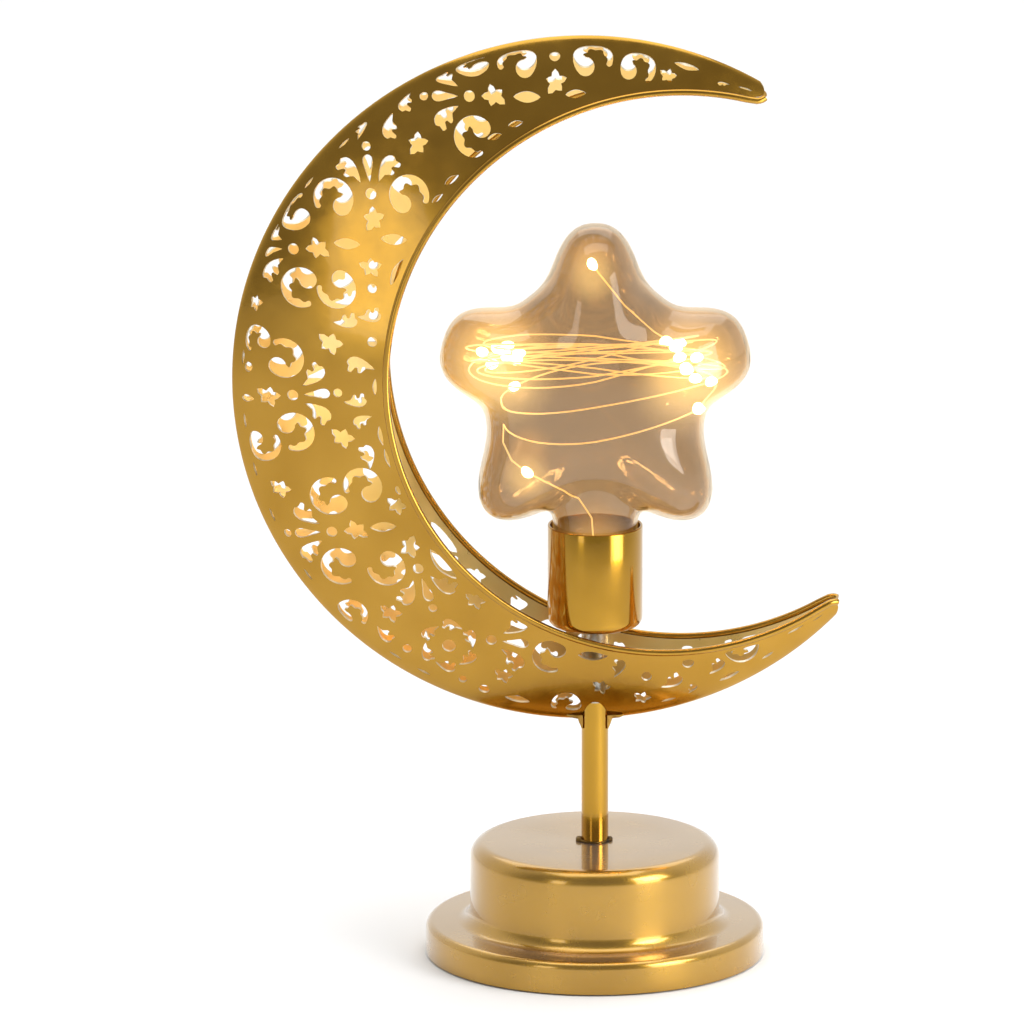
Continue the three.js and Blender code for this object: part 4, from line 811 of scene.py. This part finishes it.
def starForm():
    # outlines from the star's edge to its middle, bridged, for one face; the other is its mirror
    bm = bmesh.new()
    rings = []
    for share in star["rings"]:
        ring = bmesh.ops.create_circle(bm, cap_ends=False, segments=star["points"], radius=1.0)["verts"]
        for v in ring:
            angle = math.atan2(v.co.y, v.co.x)
            reach = star["grown"] * share * starReach(angle)
            v.co = Vector((reach * math.cos(angle), -star["halfDepth"] * math.sqrt(1 - share ** 3),
                           reach * math.sin(angle))) * mm
        rings.append(ring)
    loops = [list({e for v in ring for e in v.link_edges}) for ring in rings]
    for a, b in zip(loops, loops[1:]):
        bmesh.ops.bridge_loops(bm, edges=a + b)
    bmesh.ops.contextual_create(bm, geom=loops[-1])
    bmesh.ops.mirror(bm, geom=bm.verts[:] + bm.edges[:] + bm.faces[:], axis="Y", merge_dist=0.01 * mm)
    bmesh.ops.translate(bm, verts=bm.verts, vec=(stemX * mm, 0, starZ * mm))
    return meshFrom(bm, "starForm")


neck = {"bottom": 114, "radius": 12.7, "bowlX": 8.9, "bowlZ": 126.3, "bowl": 3.8, "straight": 131,
        "pinch": [(4.6, 114), (4.8, 118), (5, 121)], "top": 0.84, "end": 0.6, "endRadius": 9}


def neckForm():
    # the neck from the screw cap up into the star, whose notch gives its upper heights
    n = neck
    top, end = starZ - star["notch"] * n["top"], starZ - star["notch"] * n["end"]
    profile = [(0, n["bottom"]), *n["pinch"], *arcPoints(n["bowlX"], n["bowlZ"], n["bowl"], 270, 360, 6),
               (n["radius"], n["straight"]), (n["radius"], top), (n["endRadius"], end), (0, end)]
    bm = spunForm(profile, 96, stemCentre, closed=False)
    return meshFrom(bm, "neckForm")


def starGlass():
    # star and neck are blown as one: joined, evened and smoothed where they run into each other
    joined = bmesh.new()
    joined.from_mesh(starForm())
    joined.from_mesh(neckForm())
    return bakedMesh(meshFrom(joined, "starWhole", 0, False), "starSkin",
                     ("REMESH", {"mode": "VOXEL", "voxel_size": star["voxel"] * mm,
                                 "use_smooth_shade": True}),
                     ("SMOOTH", {"factor": star["smooth"], "iterations": star["passes"]}),
                     ("SOLIDIFY", {"thickness": star["wall"] * mm, "offset": -1.0,
                                   "use_even_offset": False}))


finishPiece("starGlass", starGlass(), [amberGlass], "bulb", ["bulb_glass"], 80)
print("stage: star glass")

# Light string: the wire is wound from arm to arm; each loop lies inside the one before it
string = {"wire": 0.5, "drop": 2.9, "dropLength": 4, "loops": 10, "steps": 48, "reachStep": 1.2,
          "depth": 21 - 1.2 - 3.3 + 0.2, "inner": 2, "room": 1.2 + 3.3, "reachFit": 0.02,
          "start": 113.9, "low": (-20, -10, -0.72), "high": (-0.02, 0, 0.76),
          "leftTurns": [-10, -2.5, 16.5, 1, 10, 3, 16.5, 1, 11, 12, 7],
          "rightTurns": [-2, 5.5, 2, 18, 0.5, 11, 8, 19, 5, 14, 12],
          "frontSags": [6.5, 4, -5, 5, -3, 1.5, -5, 0, 3, -0.5, 0]}


def between(values, place):
    low = min(max(int(math.floor(place)), 0), len(values) - 2)
    share = min(max(place - low, 0), 1)
    return values[low] + (values[low + 1] - values[low]) * share


def armReach(height):
    # how far out an arm has room for the winding at a height
    reach = 0
    while math.hypot(reach, height) < starReach(math.atan2(height, reach)) - string["room"]:
        reach += string["reachFit"]
    return reach


def windingPoint(turns):
    s = string
    phase = 2 * math.pi * turns
    left, right = between(s["leftTurns"], turns), between(s["rightTurns"], turns)
    reach = armReach(right if math.sin(phase) > 0 else left) - s["reachStep"] * max(turns, 0)
    depthStep = (s["depth"] - s["inner"]) / s["loops"]  # each loop lies nearer the star's middle plane
    height = (left + right + (right - left) * math.sin(phase)) / 2
    height -= between(s["frontSags"], turns) * math.cos(phase)
    return Vector((reach * math.sin(phase), (depthStep * turns - s["depth"]) * math.cos(phase), height))


def stringPath():
    # up from the neck, past a light low in the left, round the loops and on into the top arm
    tip, notch = star["tip"], star["notch"]
    start = string["start"] - starZ
    knots = [(-5, -6, -0.98), (-12, -8.6, -0.86), string["low"], (-24.5, -8.4, -0.62), (-27, -5, -0.48)]
    path = [Vector(k) for k in [(0, -1, start), (0, -1, start + 5), (-1, -4, -0.8 * tip)]]
    path += [Vector((x, y, share * notch)) for x, y, share in knots]
    x, y, share = string["low"]
    lights = [(Vector((x, y, share * notch)), Vector((-1, 0, 0.9)))]
    steps, half = string["steps"], string["steps"] // 2
    first, last = -steps // 4 + 1, int((string["loops"] - 0.75) * steps)
    for i in range(first, last + 1):
        turns = i / steps
        path.append(windingPoint(turns))
        stagger = (steps // 18) * (int(turns / 2) % 2) if turns > 0 else 0
        if i > 0 and i % half == half // 3 - stagger:
            lights.append((windingPoint(turns), windingPoint(turns + 0.01) - windingPoint(turns - 0.01)))
    for x, y, z in [(0.45, 1, 0.28), (0.36, 1.4, 0.33), (0.27, 1.5, 0.41), (0.18, 1.4, 0.5),
                    (0.1, 1, 0.6), (0.03, 0.4, 0.69), string["high"], (-0.035, 0, 0.8)]:
        path.append(Vector((x * tip, y, z * tip)))
    x, y, z = string["high"]
    lights.append((Vector((x * tip, y, z * tip)), Vector((-0.5, 0, 1))))
    return path, lights


def lightDrop(bm, place, heading):
    # a drop of resin round the wire, longer than it is wide
    new = bmesh.ops.create_icosphere(bm, subdivisions=3, radius=1.0)["verts"]
    for v in new:
        v.co.z *= 1 + 0.15 * v.co.x
    radius, half = string["drop"] / 2 * mm, string["dropLength"] / 2 * mm
    bmesh.ops.scale(bm, vec=(radius, radius, half), verts=new)
    turn = Vector((0, 0, 1)).rotation_difference(heading.normalized()).to_matrix()
    bmesh.ops.rotate(bm, verts=new, cent=(0, 0, 0), matrix=turn)
    bmesh.ops.translate(bm, verts=new, vec=place)


starCentre = Vector((stemX, 0, starZ))
wirePath, lightPlaces = stringPath()
wire = sweptMesh("lightWire", [(p + starCentre) * mm for p in wirePath], string["wire"] / 2 * mm, 8)
finishPiece("lightWire", wire, [wireCopper], "bulb", ["led_string"], 60)
bm = bmesh.new()
for place, heading in lightPlaces:
    lightDrop(bm, (place + starCentre) * mm, heading)
finishPiece("lightDrops", meshFrom(bm, "lightDrops", 0), [dropResin], "bulb",
            sharp=60)
print("stage: light string", len(lightPlaces))

# CAD pieces that stay get their finishes
finishes = {
    blackAbs: ["battery_tray", "battery_door", "switch_knob"],
    nickelPlate: ["door_hinge_pin", "contact_negative", "contact_bridge_front", "contact_bridge_back",
                  "contact_positive", "tray_screw_1", "tray_screw_2", "tray_screw_3", "board_screw_left",
                  "board_screw_right", "stem_nut", "bulb_cap", "switch_body"],
    contactBrass: ["socket_shell_contact", "socket_center_contact", "bulb_cap_contact"],
    whiteAbs: ["socket_insert"],
    cellJacket: ["battery_1", "battery_2", "battery_3"],
    boardGreen: ["control_board"],
    redPvc: ["battery_lead_red", "supply_lead_red"],
    blackPvc: ["battery_lead_black", "supply_lead_black"],
    footRubber: ["foot_ring"],
    goldBase: ["screw_post_1", "screw_post_2", "screw_post_3"],
}
for material, names in finishes.items():
    for name in names:
        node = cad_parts[name]
        if not node.material_slots:
            node.data.materials.append(material)
        for place in node.material_slots:
            place.material = material
print("stage: finishes")

# Floor, light and camera
studio = {"distance": 6.0, "elevation": 14.4, "lens": 715.6, "sensor": 36, "clip": 50,
          "aimX": -7.26, "aimZ": 134.3, "floor": 6, "paper": 1.2,
          "ahead": "a09e9a", "behind": "ffffff", "world": 0.95}


def studioFloor():
    bm = bmesh.new()
    bmesh.ops.create_grid(bm, x_segments=1, y_segments=1, size=studio["floor"])
    floor = addObject("floor", meshFrom(bm, "floor"))
    material, tree, shader, place = newMaterial("matt_white_paper")
    tone = addNode(tree, "ShaderNodeTexNoise", "Fac",
                   {"Vector": place, "Scale": studio["paper"], "Detail": 2})
    setInputs(tree, shader, {"Base Color": blendNode(tree, tone, "fafafa", "fcfcfc"), "Roughness": 0.9})
    floor.data.materials.append(material)


def softLight(name, place, aim, size, power):
    light = bpy.data.lights.new(name, "AREA")
    light.shape = "RECTANGLE"
    light.size, light.size_y = size
    light.energy = power
    lamp = addObject(name, light)
    lamp.location = place
    lamp.rotation_euler = (Vector(aim) - lamp.location).to_track_quat("-Z", "Y").to_euler()


studioFloor()
# soft boxes, in metres and watts: place, point aimed at, size, power
softBoxes = {
    "softLeft": ((-0.545, -0.84, 0.3), (0.02, -0.1, 0.3), (0.24, 0.4), 0.6),
    "softRight": ((0.766, -0.643, 0.45), (0.02, -0.1, 0.45), (0.42, 0.88), 4.2),
    "softTop": ((0, 0, 1.6), (0.02, -0.1, 0.1), (1.4, 1.0), 8),
    "softBack": ((0, 1.1, 1.3), (0, 0.9, 0), (1.6, 1.2), 6),
    "lowRight": ((0.213, -0.149, 0.14), (0.02, -0.1, 0), (0.12, 0.12), 0.22),
}
for name, (place, aim, size, power) in softBoxes.items():
    softLight(name, place, aim, size, power)

world = bpy.data.worlds.new("paleRoom")
bpy.context.scene.world = world
world.use_nodes = True
worldTree = world.node_tree
# white behind the lamp, dimmer on the camera's side, so the metal has both to reflect
heading = addNode(worldTree, "ShaderNodeTexCoord", "Generated", {})
depth = addNode(worldTree, "ShaderNodeSeparateXYZ", "Y", {"Vector": heading})
share = rangeNode(worldTree, depth, (-0.5, 0.3), interpolation_type="SMOOTHSTEP")
tint = blendNode(worldTree, share, studio["ahead"], studio["behind"])
setInputs(worldTree, worldTree.nodes["Background"], {"Color": tint, "Strength": studio["world"]})

camera = bpy.data.cameras.new("camera")
camera.lens = studio["lens"]
camera.sensor_width = studio["sensor"]
camera.clip_end = studio["clip"]
viewer = addObject("camera", camera)
aim = Vector((studio["aimX"] * mm, 0, studio["aimZ"] * mm))
lift = math.radians(studio["elevation"])
viewer.location = aim + Vector((0, -math.cos(lift), math.sin(lift))) * studio["distance"]
viewer.rotation_euler = (aim - viewer.location).to_track_quat("-Z", "Y").to_euler()
bpy.context.scene.camera = viewer
bpy.context.scene.view_settings.view_transform = "Standard"
print("stage: studio")
